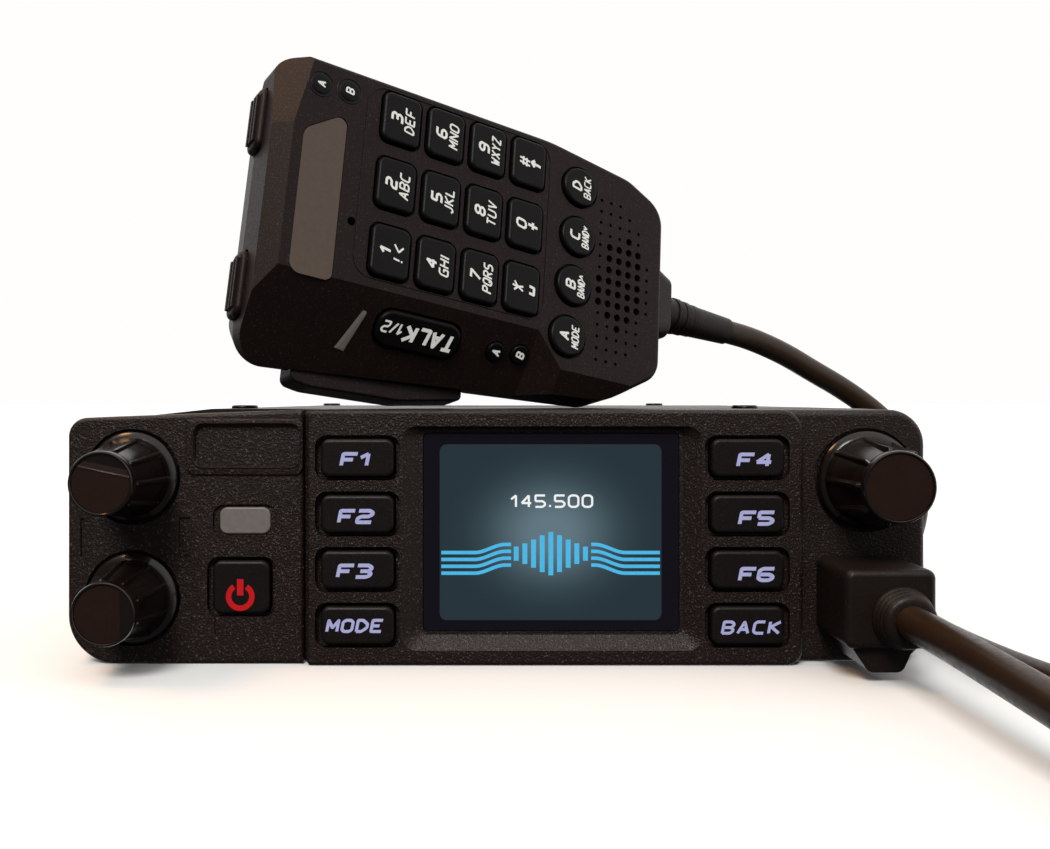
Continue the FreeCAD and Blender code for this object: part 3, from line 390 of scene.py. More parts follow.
# Each style: share of the height asked for, stretch, stroke weight, slant, and gap between two
# characters. Weight and gap count in squares of the strokes' grid.
STYLES = {
    "reading": (1.0, 1.25, 1.1, 0.0, 1.8),
    "short": (1.0, 1.85, 1.9, 0.2, 1.1),
    "word": (0.93, 1.34, 1.6, 0.2, 1.9),
    "wide_word": (0.93, 1.34, 1.5, 0.2, 2.1),
    "digit": (1.0, 1.12, 1.4, 0.2, 1.9),
    "sign": (1.1, 1.12, 0.95, 0.2, 1.9),
    "letters": (1.0, 0.98, 1.1, 0.2, 1.9),
    "four_letters": (1.0, 0.84, 1.1, 0.2, 1.9),
    "mark": (1.25, 0.98, 1.5, 0.2, 1.9),
    "round_letter": (1.0, 1.05, 1.35, 0.2, 1.9),
    "round_word": (1.0, 0.8, 1.1, 0.2, 1.8),
    "round_long_word": (1.0, 0.64, 1.1, 0.2, 1.8),
    "talk": (1.0, 0.98, 1.45, 0.18, 1.9),
    "talk_figures": (1.0, 0.9, 1.1, 0.18, 1.7),
    "band": (1.0, 0.9, 1.4, 0.2, 1.9),
    "lamp": (1.0, 0.95, 1.3, 0.15, 1.9),
}


def lettering(text, height, style, high, low=0.0):
    """Shells of a line of text, centred, as bars of one weight along each character's strokes.

    A slant of 0.2 leans each point to the right by 0.2 of its height. The ink lies between low
    and high. Every stroke ends a hair above the one before, so that crossing bars never share a
    face.
    """
    share, stretch, weight, slant, gap = STYLES[style]
    unit = height * share / (GRID_HIGH + weight)
    bars, x = [], 0.0
    for character in text:
        if character == " ":
            x += SPACE
            continue
        wide = NARROW.get(character, GRID_WIDE)
        for stroke in STROKES[character].split(","):
            grid = np.array([[int(column), int(row)] for column, row in stroke.split()], float)
            if character in UPRIGHTS:
                grid[:, 0] = wide / 2
            bars.append(rounded(grid, CORNER_CUT) + (x, 0))
        x += wide + gap
    width = x - gap
    shells = []
    for i, bar in enumerate(bars):
        line = np.column_stack([(bar[:, 0] - width / 2) * stretch, bar[:, 1] - GRID_HIGH / 2]) * unit
        rings = ribbon(line, weight * unit, low, high + i * HAIR)
        rings[..., 0] += slant * rings[..., 1]
        shells.append(closed_loft(rings))
    return shells


def legend(name, lines, finish, body, slot="key_rubber"):
    """One printed piece from (shells, plane) pairs."""
    shells = [placed(shell, where) for some, where in lines for shell in some]
    return add_piece(name, shells, finish, body, smooth=False)


# ---------------------------------------------------------------- materials

def add_node(tree, kind, inputs=None, **settings):
    """One shader node with its settings; an input is a value, or another node's socket."""
    made = tree.nodes.new(kind)
    for name, value in settings.items():
        setattr(made, name, value)
    for name, value in (inputs or {}).items():
        if isinstance(value, bpy.types.NodeSocket):
            tree.links.new(value, made.inputs[name])
        else:
            made.inputs[name].default_value = value
    return made


def new_finish(name):
    """An empty material with its shader, its output and a socket of Object coordinates."""
    finish = bpy.data.materials.new(name)
    finish.use_nodes = True
    tree = finish.node_tree
    tree.nodes.clear()
    shader = add_node(tree, "ShaderNodeBsdfPrincipled")
    add_node(tree, "ShaderNodeOutputMaterial", {"Surface": shader.outputs["BSDF"]})
    place = add_node(tree, "ShaderNodeTexCoord").outputs["Object"]
    return finish, tree, shader, place


def across(millimetres):
    """The scale that makes a pattern's features this wide, on coordinates in metres."""
    return 1.0 / (millimetres * MM)


def shade(colour, factor=1.0):
    """A colour made darker or lighter, with the alpha that node sockets take."""
    return tuple(min(1.0, channel * factor) for channel in colour) + (1.0,)


def moulded(name, colour, grain, depth, roughness, gloss=0.5, painted_glint=0.0, mottle=9.0):
    """Injection-moulded plastic or rubber from a spark-eroded tool.

    A fine grain (grain and depth in millimetres) stands in relief and shifts the roughness, and
    a slow mottle shifts the colour; the glint lightens the grain's crests towards a pale grey, a
    painted highlight in place of light caught on them.
    """
    finish, tree, shader, place = new_finish(name)
    fine = add_node(tree, "ShaderNodeTexNoise", {"Vector": place, "Scale": across(grain),
                                                 "Detail": 3.0, "Roughness": 0.6})
    slow = add_node(tree, "ShaderNodeTexNoise", {"Vector": place, "Scale": across(mottle),
                                                 "Detail": 4.0})
    tone = add_node(tree, "ShaderNodeMix", {"Factor": slow.outputs["Fac"], "A": shade(colour, 0.78),
                                            "B": shade(colour, 1.22)}, data_type="RGBA")
    # Painted highlight: the grain's crests are lightened towards a pale grey as glints.
    painted_glint_mask = add_node(tree, "ShaderNodeMapRange", {"Value": fine.outputs["Fac"], "From Min": 0.60,
                                                  "From Max": 0.70, "To Min": 0.0, "To Max": painted_glint})
    painted_glint_tone = add_node(tree, "ShaderNodeMix", {"Factor": painted_glint_mask.outputs["Result"],
                                              "A": tone.outputs["Result"],
                                              "B": shade(linear("#6f666a"))}, data_type="RGBA")
    matt = add_node(tree, "ShaderNodeMapRange", {"Value": fine.outputs["Fac"], "From Min": 0.3,
                                                 "From Max": 0.7, "To Min": roughness + 0.08,
                                                 "To Max": roughness - 0.08})
    relief = add_node(tree, "ShaderNodeBump", {"Height": fine.outputs["Fac"], "Strength": 1.0,
                                               "Distance": depth * MM})
    tree.links.new(painted_glint_tone.outputs["Result"], shader.inputs["Base Color"])
    tree.links.new(matt.outputs["Result"], shader.inputs["Roughness"])
    tree.links.new(relief.outputs["Normal"], shader.inputs["Normal"])
    shader.inputs["Specular IOR Level"].default_value = gloss
    return finish


def polished(name, colour, roughness, metallic=0.0, gloss=0.5, coat=0.0, grain=0.8):
    """Polished plastic or plated metal: a smooth skin with faint handling marks in its gloss."""
    finish, tree, shader, place = new_finish(name)
    marks = add_node(tree, "ShaderNodeTexNoise", {"Vector": place, "Scale": across(grain),
                                                  "Detail": 2.0, "Roughness": 0.5})
    worn = add_node(tree, "ShaderNodeMapRange", {"Value": marks.outputs["Fac"], "From Min": 0.35,
                                                 "From Max": 0.75, "To Min": roughness,
                                                 "To Max": roughness + 0.10})
    tone = add_node(tree, "ShaderNodeMix", {"Factor": marks.outputs["Fac"], "A": shade(colour, 0.85),
                                            "B": shade(colour, 1.15)}, data_type="RGBA")
    relief = add_node(tree, "ShaderNodeBump", {"Height": marks.outputs["Fac"], "Strength": 0.5,
                                               "Distance": 0.003 * MM})
    tree.links.new(tone.outputs["Result"], shader.inputs["Base Color"])
    tree.links.new(worn.outputs["Result"], shader.inputs["Roughness"])
    tree.links.new(relief.outputs["Normal"], shader.inputs["Normal"])
    shader.inputs["Metallic"].default_value = metallic
    shader.inputs["Specular IOR Level"].default_value = gloss
    shader.inputs["Coat Weight"].default_value = coat
    shader.inputs["Coat Roughness"].default_value = 0.05
    return finish


def printed(name, colour, glow=0.0):
    """Screen-printed ink, thin and slightly uneven; glow is how much light it gives out itself."""
    finish, tree, shader, place = new_finish(name)
    uneven = add_node(tree, "ShaderNodeTexNoise", {"Vector": place, "Scale": across(0.5), "Detail": 3.0})
    tone = add_node(tree, "ShaderNodeMix", {"Factor": uneven.outputs["Fac"], "A": shade(colour, 0.86),
                                            "B": shade(colour, 1.1)}, data_type="RGBA")
    ink = add_node(tree, "ShaderNodeMix", {"Factor": glow, "A": tone.outputs["Result"],
                                           "B": (0, 0, 0, 1)}, data_type="RGBA")
    tree.links.new(ink.outputs["Result"], shader.inputs["Base Color"])
    tree.links.new(tone.outputs["Result"], shader.inputs["Emission Color"])
    shader.inputs["Emission Strength"].default_value = glow
    shader.inputs["Roughness"].default_value = 0.5
    shader.inputs["Specular IOR Level"].default_value = 0.2
    return finish


def circuit_laminate(name):
    """Glass-epoxy laminate under solder mask: green, with tinned pads a few millimetres apart."""
    finish, tree, shader, place = new_finish(name)
    pads = add_node(tree, "ShaderNodeTexVoronoi", {"Vector": place, "Scale": across(2.54)})
    tinned = add_node(tree, "ShaderNodeMapRange", {"Value": pads.outputs["Distance"], "From Min": 0.16,
                                                   "From Max": 0.2, "To Min": 1.0, "To Max": 0.0})
    mask = add_node(tree, "ShaderNodeMix", {"Factor": tinned.outputs["Result"],
                                            "A": shade(linear("#0f4a2c")),
                                            "B": shade(linear("#b9b6ae"))}, data_type="RGBA")
    tree.links.new(mask.outputs["Result"], shader.inputs["Base Color"])
    tree.links.new(tinned.outputs["Result"], shader.inputs["Metallic"])
    shader.inputs["Roughness"].default_value = 0.35
    return finish


def lit_screen(name, colour):
    """Back-lit liquid-crystal panel behind its window: brightest at its middle, dark at the edges.

    A spherical gradient centred on the picture falls off over the panel's half width.
    """
    finish, tree, shader, place = new_finish(name)
    low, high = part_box("display_glass")
    reach = (24 * MM, 24 * MM, 20 * MM)
    centred = add_node(tree, "ShaderNodeMapping", {"Vector": place, "Location": (low + high) / 2,
                                                   "Scale": reach}, vector_type="TEXTURE")
    fall = add_node(tree, "ShaderNodeTexGradient", {"Vector": centred.outputs["Vector"]},
                    gradient_type="QUADRATIC_SPHERE")
    ease = add_node(tree, "ShaderNodeMapRange", {"Value": fall.outputs["Fac"], "From Min": 0.0,
                                                 "From Max": 0.8, "To Min": 0.06, "To Max": 1.0},
                    interpolation_type="SMOOTHSTEP")
    tone = add_node(tree, "ShaderNodeMix", {"Factor": ease.outputs["Result"],
                                            "A": shade(linear("#18242a")), "B": shade(colour)},
                    data_type="RGBA")
    tree.links.new(tone.outputs["Result"], shader.inputs["Emission Color"])
    shader.inputs["Base Color"].default_value = shade(linear("#080b0d"))
    shader.inputs["Emission Strength"].default_value = 1.25
    shader.inputs["Roughness"].default_value = 0.15
    shader.inputs["Specular IOR Level"].default_value = 0.2
    return finish


def finishes(colours):
    """Makes every finish of the object."""
    # Each moulded finish: colour, grain, depth, roughness, gloss, painted glint and mottle.
    moulded_finishes = {
        # ABS with a coarse spark texture: satin, its crests lightened by fine painted glints.
        "spark_textured_abs": (colours.case, 0.42, 0.20, 0.36, 0.30, 0.6),
        # The same plastic with a finer texture, so the microphone looks smoother and darker.
        "fine_textured_abs": (colours.microphone, 0.36, 0.055, 0.46, 0.16, 0.22),
        # Silicone rubber keys with a hard top coat: soft dark satin.
        "coated_silicone_rubber": (colours.keys, 0.36, 0.040, 0.42, 0.22, 0.10),
        # The same rubber left bare on the microphone: blacker and nearly without a sheen.
        "matt_silicone_rubber": (colours.pad, 0.34, 0.012, 0.42, 0.13, 0.04),
        # The knobs' caps, left matt from a blasted tool: an even dark brown.
        "blasted_abs": (colours.caps, 0.5, 0.010, 0.40, 0.20, 0.0, 3.0),
        # Thermoplastic rubber of the boot and relief: dull, with faint painted glints on its crests.
        "moulded_rubber": (colours.rubber, 0.5, 0.06, 0.44, 0.26, 0.10),
        # Polyurethane jacket: smooth with a broad soft sheen.
        "polyurethane_jacket": (colours.jacket, 1.2, 0.006, 0.36, 0.30, 0.0, 14.0),
        # Aluminium die casting, painted satin black: slightly pebbled.
        "painted_casting": (linear("#151313"), 0.9, 0.03, 0.42, 0.3, 0.08),
        # Powder-coated steel lid: fine orange peel.
        "powder_coated_steel": (linear("#1a1615"), 0.7, 0.03, 0.40, 0.3, 0.12),
        # Pressed paper cone of the loudspeaker: fibrous and dead matt.
        "pressed_paper": (linear("#1a1918"), 0.35, 0.03, 0.85, 0.2, 0.05),
        # Nylon of the sockets inside: plain dark satin.
        "socket_nylon": (linear("#0d0b0b"), 0.5, 0.01, 0.5, 0.3),
    }
    for name, numbers in moulded_finishes.items():
        moulded(name, *numbers)
    # ABS polished in the tool: near black, with sharp warm reflections.
    polished("polished_abs", colours.knobs, 0.17, gloss=0.45, coat=0.08, grain=2.5)
    # Acrylic window printed black on its back: deep and mirror smooth.
    polished("printed_acrylic", linear("#13111a"), 0.06, gloss=0.3)
    # Acrylic smoked and matted, so the unlit window is an even grey brown.
    polished("smoked_acrylic", colours.window, 0.42, gloss=0.25)
    # Frosted polycarbonate lens: milky, with a blurred shine.
    polished("frosted_polycarbonate", colours.lens, 0.35, gloss=0.35)
    # Nickel plate on brass: warm and bright. Zinc plate passivated black: a dark metal shine.
    polished("nickel_plate", linear("#c9c4ba"), 0.18, metallic=1.0)
    polished("black_zinc_plate", linear("#2a2a2c"), 0.28, metallic=1.0)
    circuit_laminate("glass_epoxy_laminate")
    # Inks on the keys, with a painted glow that keeps them bright, and the fully lit picture of the
    # display.
    printed("lavender_ink", colours.legend, 0.5)
    printed("white_ink", colours.mic_legend, 0.35)
    printed("red_ink", colours.power, 0.5)
    lit_screen("lit_screen", colours.screen)
    printed("lit_reading", colours.reading, 0.95)
    printed("lit_level", colours.level, 0.95)


CAD_FINISHES = {
    "spark_textured_abs": ["front_bezel"],
    "fine_textured_abs": ["mic_front_shell", "mic_rear_shell", "mic_ptt_bar", "mic_up_key",
                          "mic_down_key"],
    "coated_silicone_rubber": ["key_p1", "key_p2", "key_p3", "key_menu", "key_p4", "key_p5", "key_p6",
                               "key_exit", "power_button"],
    "matt_silicone_rubber": ["mic_key_" + each for each in "1234567890abcd"] + [
        "mic_key_star", "mic_key_hash", "mic_sub_ptt", "mic_band_a", "mic_band_b"],
    "painted_casting": ["chassis"],
    "powder_coated_steel": ["top_cover"],
    "printed_acrylic": ["display_glass"],
    "smoked_acrylic": ["mic_display_window"],
    "frosted_polycarbonate": ["led_window"],
    "glass_epoxy_laminate": ["front_board", "main_board", "mic_board"],
    "pressed_paper": ["speaker", "mic_speaker"],
    "socket_nylon": ["mic_socket", "display_module"],
    "moulded_rubber": ["mic_plug", "mic_strain_relief", "power_grommet"],
    "nickel_plate": ["rotary_controls", "antenna_socket", "mic_hang_stud"],
    "black_zinc_plate": ["cover_screws", "mic_screws"],
    "polished_abs": ["knob_upper_left", "knob_lower_left", "knob_right"],
    "polyurethane_jacket": ["cord_front_lead", "cord_curly_section", "cord_mic_lead"],
}


# ---------------------------------------------------------------- operators

# Places are in metres and turns in radians, the sensor in millimetres, the shift in frame widths.
CAMERA_PLACE = (-0.001, -0.300, 0.0488)
CAMERA_TURN = (math.radians(90), 0, 0)
LENS_SHIFT = (1 / 30, -7 / 300)
SENSOR_WIDTH = 36.0
NEAREST_SEEN = 0.01
FLOOR_HALF = 12.0
LIT_POINT = (0, -0.06, 0.04)
LIGHTS = {"key_light": ("SUN", (-0.35, -1.5, 1.4)), "warm_light": ("AREA", (-0.30, -0.08, 0.52))}
SUN_SPREAD = math.radians(22)
WARM_SIZE = 0.14


class TRANSCEIVER_OT_stage(bpy.types.Operator):
    """Camera, pale paper floor and soft lights"""
    bl_idname = "transceiver.stage"
    bl_label = "Stage"

    def execute(self, context):
        chosen = context.scene.transceiver.stage
        scene = context.scene
        camera = bpy.data.objects.new("camera", bpy.data.cameras.new("camera"))
        scene.collection.objects.link(camera)
        camera.location = CAMERA_PLACE
        camera.rotation_euler = CAMERA_TURN
        camera.data.sensor_width = SENSOR_WIDTH
        camera.data.lens = chosen.lens
        camera.data.shift_x, camera.data.shift_y = LENS_SHIFT
        camera.data.clip_start = NEAREST_SEEN
        scene.camera = camera
        scene.view_settings.view_transform = "Standard"
        self.floor(chosen)
        self.lights(chosen)
        self.room(chosen)
        return {"FINISHED"}

    def room(self, chosen):
        """A pale room, brightest behind, above and to the right, and dim behind the camera.

        Its strength eases up with y + z + 0.8 x of the direction looked in.
        """
        world = bpy.data.worlds.new("room")
        bpy.context.scene.world = world
        world.use_nodes = True
        tree = world.node_tree
        way = add_node(tree, "ShaderNodeTexCoord").outputs["Generated"]
        parts = add_node(tree, "ShaderNodeSeparateXYZ", {"Vector": way})
        depth = add_node(tree, "ShaderNodeMath", {0: parts.outputs["Y"], 1: parts.outputs["Z"]},
                         operation="ADD")
        depth = add_node(tree, "ShaderNodeMath", {0: parts.outputs["X"], 1: 0.8,
                                                  2: depth.outputs["Value"]},
                         operation="MULTIPLY_ADD")
        fade = add_node(tree, "ShaderNodeMapRange", {"Value": depth.outputs["Value"], "From Min": -0.3,
                                                     "From Max": 0.6, "To Min": 0.10 * chosen.room,
                                                     "To Max": chosen.room},
                        interpolation_type="SMOOTHSTEP")
        background = tree.nodes["Background"]
        background.inputs["Color"].default_value = (1.0, 0.99, 0.98, 1)
        tree.links.new(fade.outputs["Result"], background.inputs["Strength"])

    def floor(self, chosen):
        """A level square of pale paper, twelve metres each way from its middle.

        It throws no light back up.
        """
        corners = np.array([[-1, -1, 0], [1, -1, 0], [1, 1, 0], [-1, 1, 0]]) * FLOOR_HALF
        mesh = bpy.data.meshes.new("floor")
        mesh.from_pydata(corners.tolist(), [], [(0, 1, 2, 3)])
        floor = bpy.data.objects.new("floor", mesh)
        bpy.context.scene.collection.objects.link(floor)
        floor.visible_diffuse = floor.visible_glossy = False
        finish, tree, shader, place = new_finish("paper_sweep")
        fibre = add_node(tree, "ShaderNodeTexNoise", {"Vector": place, "Scale": across(2.0)})
        tone = add_node(tree, "ShaderNodeMix", {"Factor": fibre.outputs["Fac"],
                                                "A": shade(chosen.floor, 0.99),
                                                "B": shade(chosen.floor)}, data_type="RGBA")
        tree.links.new(tone.outputs["Result"], shader.inputs["Base Color"])
        shader.inputs["Roughness"].default_value = 0.7
        shader.inputs["Specular IOR Level"].default_value = 0.3
        mesh.materials.append(finish)

    def lights(self, chosen):
        """A broad soft key from the upper front, and a warm lamp over the left end."""
        for name, (kind, where) in LIGHTS.items():
            light = bpy.data.lights.new(name, kind)
            lamp = bpy.data.objects.new(name, light)
            bpy.context.scene.collection.objects.link(lamp)
            lamp.location = where
            aim = Vector(LIT_POINT) - lamp.location
            lamp.rotation_euler = aim.to_track_quat("-Z", "Y").to_euler()
        key = bpy.data.lights["key_light"]
        key.energy, key.angle, key.color = chosen.sun, SUN_SPREAD, linear("#fffdfa")
        warm = bpy.data.lights["warm_light"]
        warm.energy, warm.color = chosen.rim_power, linear("#ffbc70")
        warm.shape, warm.size = "DISK", WARM_SIZE


# The lead's route, in millimetres: from the microphone to the curl, and from the curl to the plug.
MIC_LEAD = [
    (57.65, -20.16, 66.04), (65.32, -15.72, 64.41), (75, -11, 60.8), (84, -6.5, 56.2), (92, -3, 52.3),
    (100, -1, 47.2), (107.5, 0.5, 41.0), (113, 2, 33), (116, 5, 24), (117.5, 11, 15), (119, 20, 8),
    (121.5, 32, 4), (124.5, 45, 3), (126.5, 57, 3), (124.5, 70, 3.2), (117, 80.5, 4),
    (106, 84, 5.4), (95.5, 80.5, 7.2), (88.2, 71, 8.5),
]
FRONT_LEAD = [
    (87, -53, 7.4), (87.2, -66, 3.8), (87, -80, 3), (87.2, -95, 3), (88.3, -110, 3), (91, -124, 3),
    (96.5, -137, 3), (104, -149, 3), (112, -161, 3), (116, -174, 3), (114, -187, 3), (106, -197, 3.2),
    (94, -200, 3.4), (83, -195, 4.6), (76, -184, 6.6), (72.5, -170, 8.4), (71.2, -155, 9.8),
    (70.6, -140, 10.6), (70.2, -126, 11.2), (69.4, -113.5, 11.6),
]
# The x and z of the curl's axis, the y of its ends, and how many points steer a turn.
CURL_X, CURL_Z = 87.0, 8.8
CURL_START, CURL_END = 60.0, -40.0
TURN_POINTS = 12


class TRANSCEIVER_OT_lead(bpy.types.Operator):
    """The microphone lead: one cable with a curl over its middle"""
    bl_idname = "transceiver.lead"
    bl_label = "Microphone lead"

    def execute(self, context):
        chosen = context.scene.transceiver.lead
        route = np.vstack([MIC_LEAD, self.curl(chosen), FRONT_LEAD]) * MM
        path = self.smooth(route)
        rings = tube(path, chosen.thickness / 2, chosen.sides)
        lead = add_piece("microphone_lead", [closed_loft(rings)], "polyurethane_jacket", None)
        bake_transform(lead)
        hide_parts("cord_front_lead", "cord_curly_section", "cord_mic_lead")
        return {"FINISHED"}

    def curl(self, chosen):
        """A helix round the curl's axis that opens and closes over half a turn."""
        total = chosen.curl_turns * TURN_POINTS
        step = np.arange(total + 1)
        angle = 2 * math.pi * step / TURN_POINTS
        opening = np.minimum(1.0, np.minimum(step, total - step) / (TURN_POINTS / 2))
        radius = chosen.curl_radius / MM * opening
        along = CURL_START + (CURL_END - CURL_START) * step / total
        return np.column_stack([CURL_X + radius * np.cos(angle), along, CURL_Z + radius * np.sin(angle)])

    def smooth(self, route):
        """A quadratic B-spline steered by the route, eight points to a span.

        Span i runs from the middle of one side of the route to the middle of the next as
        (1-t)^2 M[i-1] + 2t(1-t) P[i] + t^2 M[i].
        """
        middles = (route[:-1] + route[1:]) / 2
        t = np.linspace(0, 1, 9)[1:, None]
        spans = ((1 - t) ** 2 * middles[:-1, None] + 2 * t * (1 - t) * route[1:-1, None]
                 + t ** 2 * middles[1:, None])
        return np.vstack([route[:1], middles[:1], spans.reshape(-1, 3), route[-1:]])


class TRANSCEIVER_OT_casework(bpy.types.Operator):
    """Finishes of every part of the frame"""
    bl_idname = "transceiver.casework"
    bl_label = "Casework finishes"

    def execute(self, context):
        finishes(context.scene.transceiver.colours)
        for name, nodes in CAD_FINISHES.items():
            for node in nodes:
                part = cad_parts[node]
                if not part.material_slots:
                    part.data.materials.append(bpy.data.materials[name])
                for slot in part.material_slots:
                    slot.material = bpy.data.materials[name]
        return {"FINISHED"}


# Each knob, in millimetres: where it stands, its foot and front, the radius of both, and how far its
# ribs swell; in degrees its first rib and the way that its cap's flat faces; and where the flat
# starts, as a share of the cap's radius.
KNOBS = {
    "knob_upper_left": dict(x=-67.05, z=34.6, foot=-92.2, front=-110.8, foot_r=8.3, cap_r=5.6, swell=1.0,
                            first_rib=37, facing=78, flat=0.4),
    "knob_lower_left": dict(x=-67.05, z=12.2, foot=-92.2, front=-109.6, foot_r=8.3, cap_r=5.6, swell=1.0,
                            first_rib=21, facing=0, flat=0.33),
    "knob_right": dict(x=68.9, z=33.9, foot=-91.4, front=-109.8, foot_r=9.1, cap_r=6.3, swell=1.8,
                       first_rib=19, facing=98, flat=1.3),
}
# Rows of (height, radius, rib). The sleeve in the wall has its own radius; the foot's radii are added
# to the foot's own. The cap's heights are added to the knob's length, and its radii to the cap's own.
SLEEVE_ROWS = [(-6.2, 2.25, 0), (-0.9, 2.25, 0)]
FOOT_ROWS = [(-0.9, -1.0, 0), (0.0, -0.2, 0), (0.5, 0, 0), (1.6, 0, 0), (2.1, -0.35, 0),
             (2.5, -1.05, 0.15), (3.2, -1.35, 0.6)]
CAP_ROWS = [(-2.4, -0.5, 0.95), (-2.05, -0.42, 0.45), (-1.9, -0.15, 0), (-1.75, 0, 0), (-0.45, 0, 0),
            (-0.15, -0.1, 0), (0, -0.3, 0), (0, -0.42, 0), (-0.1, -0.52, 0)]
TAPER_START, TAPER_END = 3.6, 2.9
TAPER_INSET, CAP_INSET = 1.4, 0.55
RIB_START = 0.75
STEPS_A_RIB = 56


class TRANSCEIVER_OT_knobs(bpy.types.Operator):
    """Three tapered control knobs on their shafts"""
    bl_idname = "transceiver.knobs"
    bl_label = "Knobs"

    def execute(self, context):
        for node, sizes in KNOBS.items():
            self.knob(context.scene.transceiver.knobs, node, **sizes)
        return {"FINISHED"}

    def knob(self, chosen, node, x, z, foot, front, foot_r, cap_r, swell, first_rib, facing, flat):
        """A tapered body of revolution with bell-shaped ribs that swell towards the cap.

        Up the taper the rib grows with the square of the way.
        """
        length = foot - front
        dish = chosen.dish / MM
        profile = SLEEVE_ROWS + [(height, foot_r + more, rib) for height, more, rib in FOOT_ROWS]
        for share in np.linspace(0.0, 1.0, 9):
            height = TAPER_START + (length - TAPER_END - TAPER_START) * share
            radius = foot_r - TAPER_INSET + (cap_r - CAP_INSET - foot_r + TAPER_INSET) * share
            profile.append((height, radius, RIB_START + (swell - RIB_START) * share ** 2))
        profile += [(length + height, cap_r + more, swell * rib) for height, more, rib in CAP_ROWS]
        profile += [(length - 1.4 * dish, cap_r - CAP_INSET, 0), (length - 1.4 * dish, 0.15, 0)]

        def ridge(angle):
            """Bells a rib's width across, evenly spaced; the height is in millimetres."""
            pitch = 2 * math.pi / chosen.ribs
            off = (angle - math.radians(first_rib) + pitch / 2) % pitch - pitch / 2
            return chosen.rib_height / MM * np.exp(-(2 * off * foot_r * MM / chosen.rib_width) ** 4)
        rings = turned(profile, chosen.ribs * STEPS_A_RIB, ridge) * MM
        where = panel_plane(x, z, foot)
        piece = add_piece(node + "_moulding", [placed(closed_loft(rings), where)], "polished_abs", node)
        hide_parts(node)
        cap = self.cap(cap_r - 0.6, length - dish, math.radians(facing), flat)
        add_piece(node + "_cap", [placed(closed_loft(cap), where)], "blasted_abs", node)

    def cap(self, radius, height, facing, flat):
        """A disc that slopes down on one side, past a chord; a chord beyond the rim leaves it plain.

        With d the way past the chord, the height falls by 0.1 d and has a fine ridge, a bell in d,
        along the chord itself.
        """
        slope, ridge_height, ridge_width, skirt = 0.1, 0.09, 0.11, 0.6
        reach = np.concatenate([[radius], np.linspace(radius, 0.05, 44)])[:, None]
        angle = np.linspace(0, 2 * math.pi, 144, endpoint=False)[None]
        past = reach * np.cos(angle - facing) - flat * radius
        bell = ridge_height * np.exp(-(past / ridge_width) ** 2)
        level = height - slope * np.clip(past, 0, None) + bell
        level[0] = height - skirt
        return np.stack([reach * np.cos(angle), reach * np.sin(angle), level], axis=-1) * MM


# The nameplate's frame: (share of the way inwards, height) rows, a groove between two lips.
NAMEPLATE_SECTION = [(0, -0.2), (0, 0.15), (0.1, 0.38), (0.2, 0.42), (0.7, 0.42), (0.78, 0.6),
                     (0.88, 0.6), (0.96, 0.42), (1, 0.1), (1, -0.4)]


class TRANSCEIVER_OT_front_details(bpy.types.Operator):
    """Raised frame of the bare nameplate, and the ribbed collar of the plug"""
    bl_idname = "transceiver.front_details"
    bl_label = "Front details"

    def execute(self, context):
        outer = soft_rectangle(21.6, 10.5, 1.5)
        inner = soft_rectangle(19.6, 7.8, 2.0) + (0.5, 0.35)
        frame_shell = closed_band(stepped(outer, inner, NAMEPLATE_SECTION))
        add_piece("nameplate_frame", [placed(frame_shell, panel_plane(-46.3, 40.15, PANEL_Y))],
                  "spark_textured_abs", "radio")
        collar = closed_loft(turned(self.collar(), 64, np.zeros_like) * MM)
        add_piece("plug_collar", [placed(collar, panel_plane(69.4, 11.6, BOOT_Y))], "moulded_rubber",
                  "radio")
        return {"FINISHED"}

    def collar(self):
        """Profile of a tapered sleeve with five round ridges, each half a sine wave."""
        foot_radius, taper, ridges, ridge_height, length = 5.5, 1.35, 5, 0.28, 5.4
        share = np.linspace(0, 1, 61)
        radius = foot_radius - taper * share + ridge_height * np.abs(np.sin(ridges * math.pi * share))
        sleeve = np.column_stack([length * share, radius, 0 * share])
        return np.vstack([[(-0.4, 4.9, 0)], sleeve, [(5.6, 3.6, 0), (5.6, 2.9, 0)]])


# The display's picture: the film's low and high side over the window, and the level lines' sizes.
PICTURE_MIDDLE = (10.2, 24.35)
PICTURE_LOW, PICTURE_HIGH = 0.02 * MM, 0.06 * MM
LEVEL_SIDES = ((-10.0, 2.9, -3.8, 1.8), (30.4, 17.7, 24.0, 18.4))
LEVEL_ROWS, LEVEL_FOOT, LEVEL_PITCH, LEVEL_RISE = 4, 20.6, 1.27, 1.5
BAR_MIDDLE, BAR_PITCH = (10.25, 20.4), 1.6
BAR_HEIGHTS = (2.6, 3.8, 5.2, 6.8, 8.0, 6.8, 5.2, 3.8, 2.6)
LINE_WIDTH, BAR_WIDTH = 0.64 * MM, 0.9 * MM


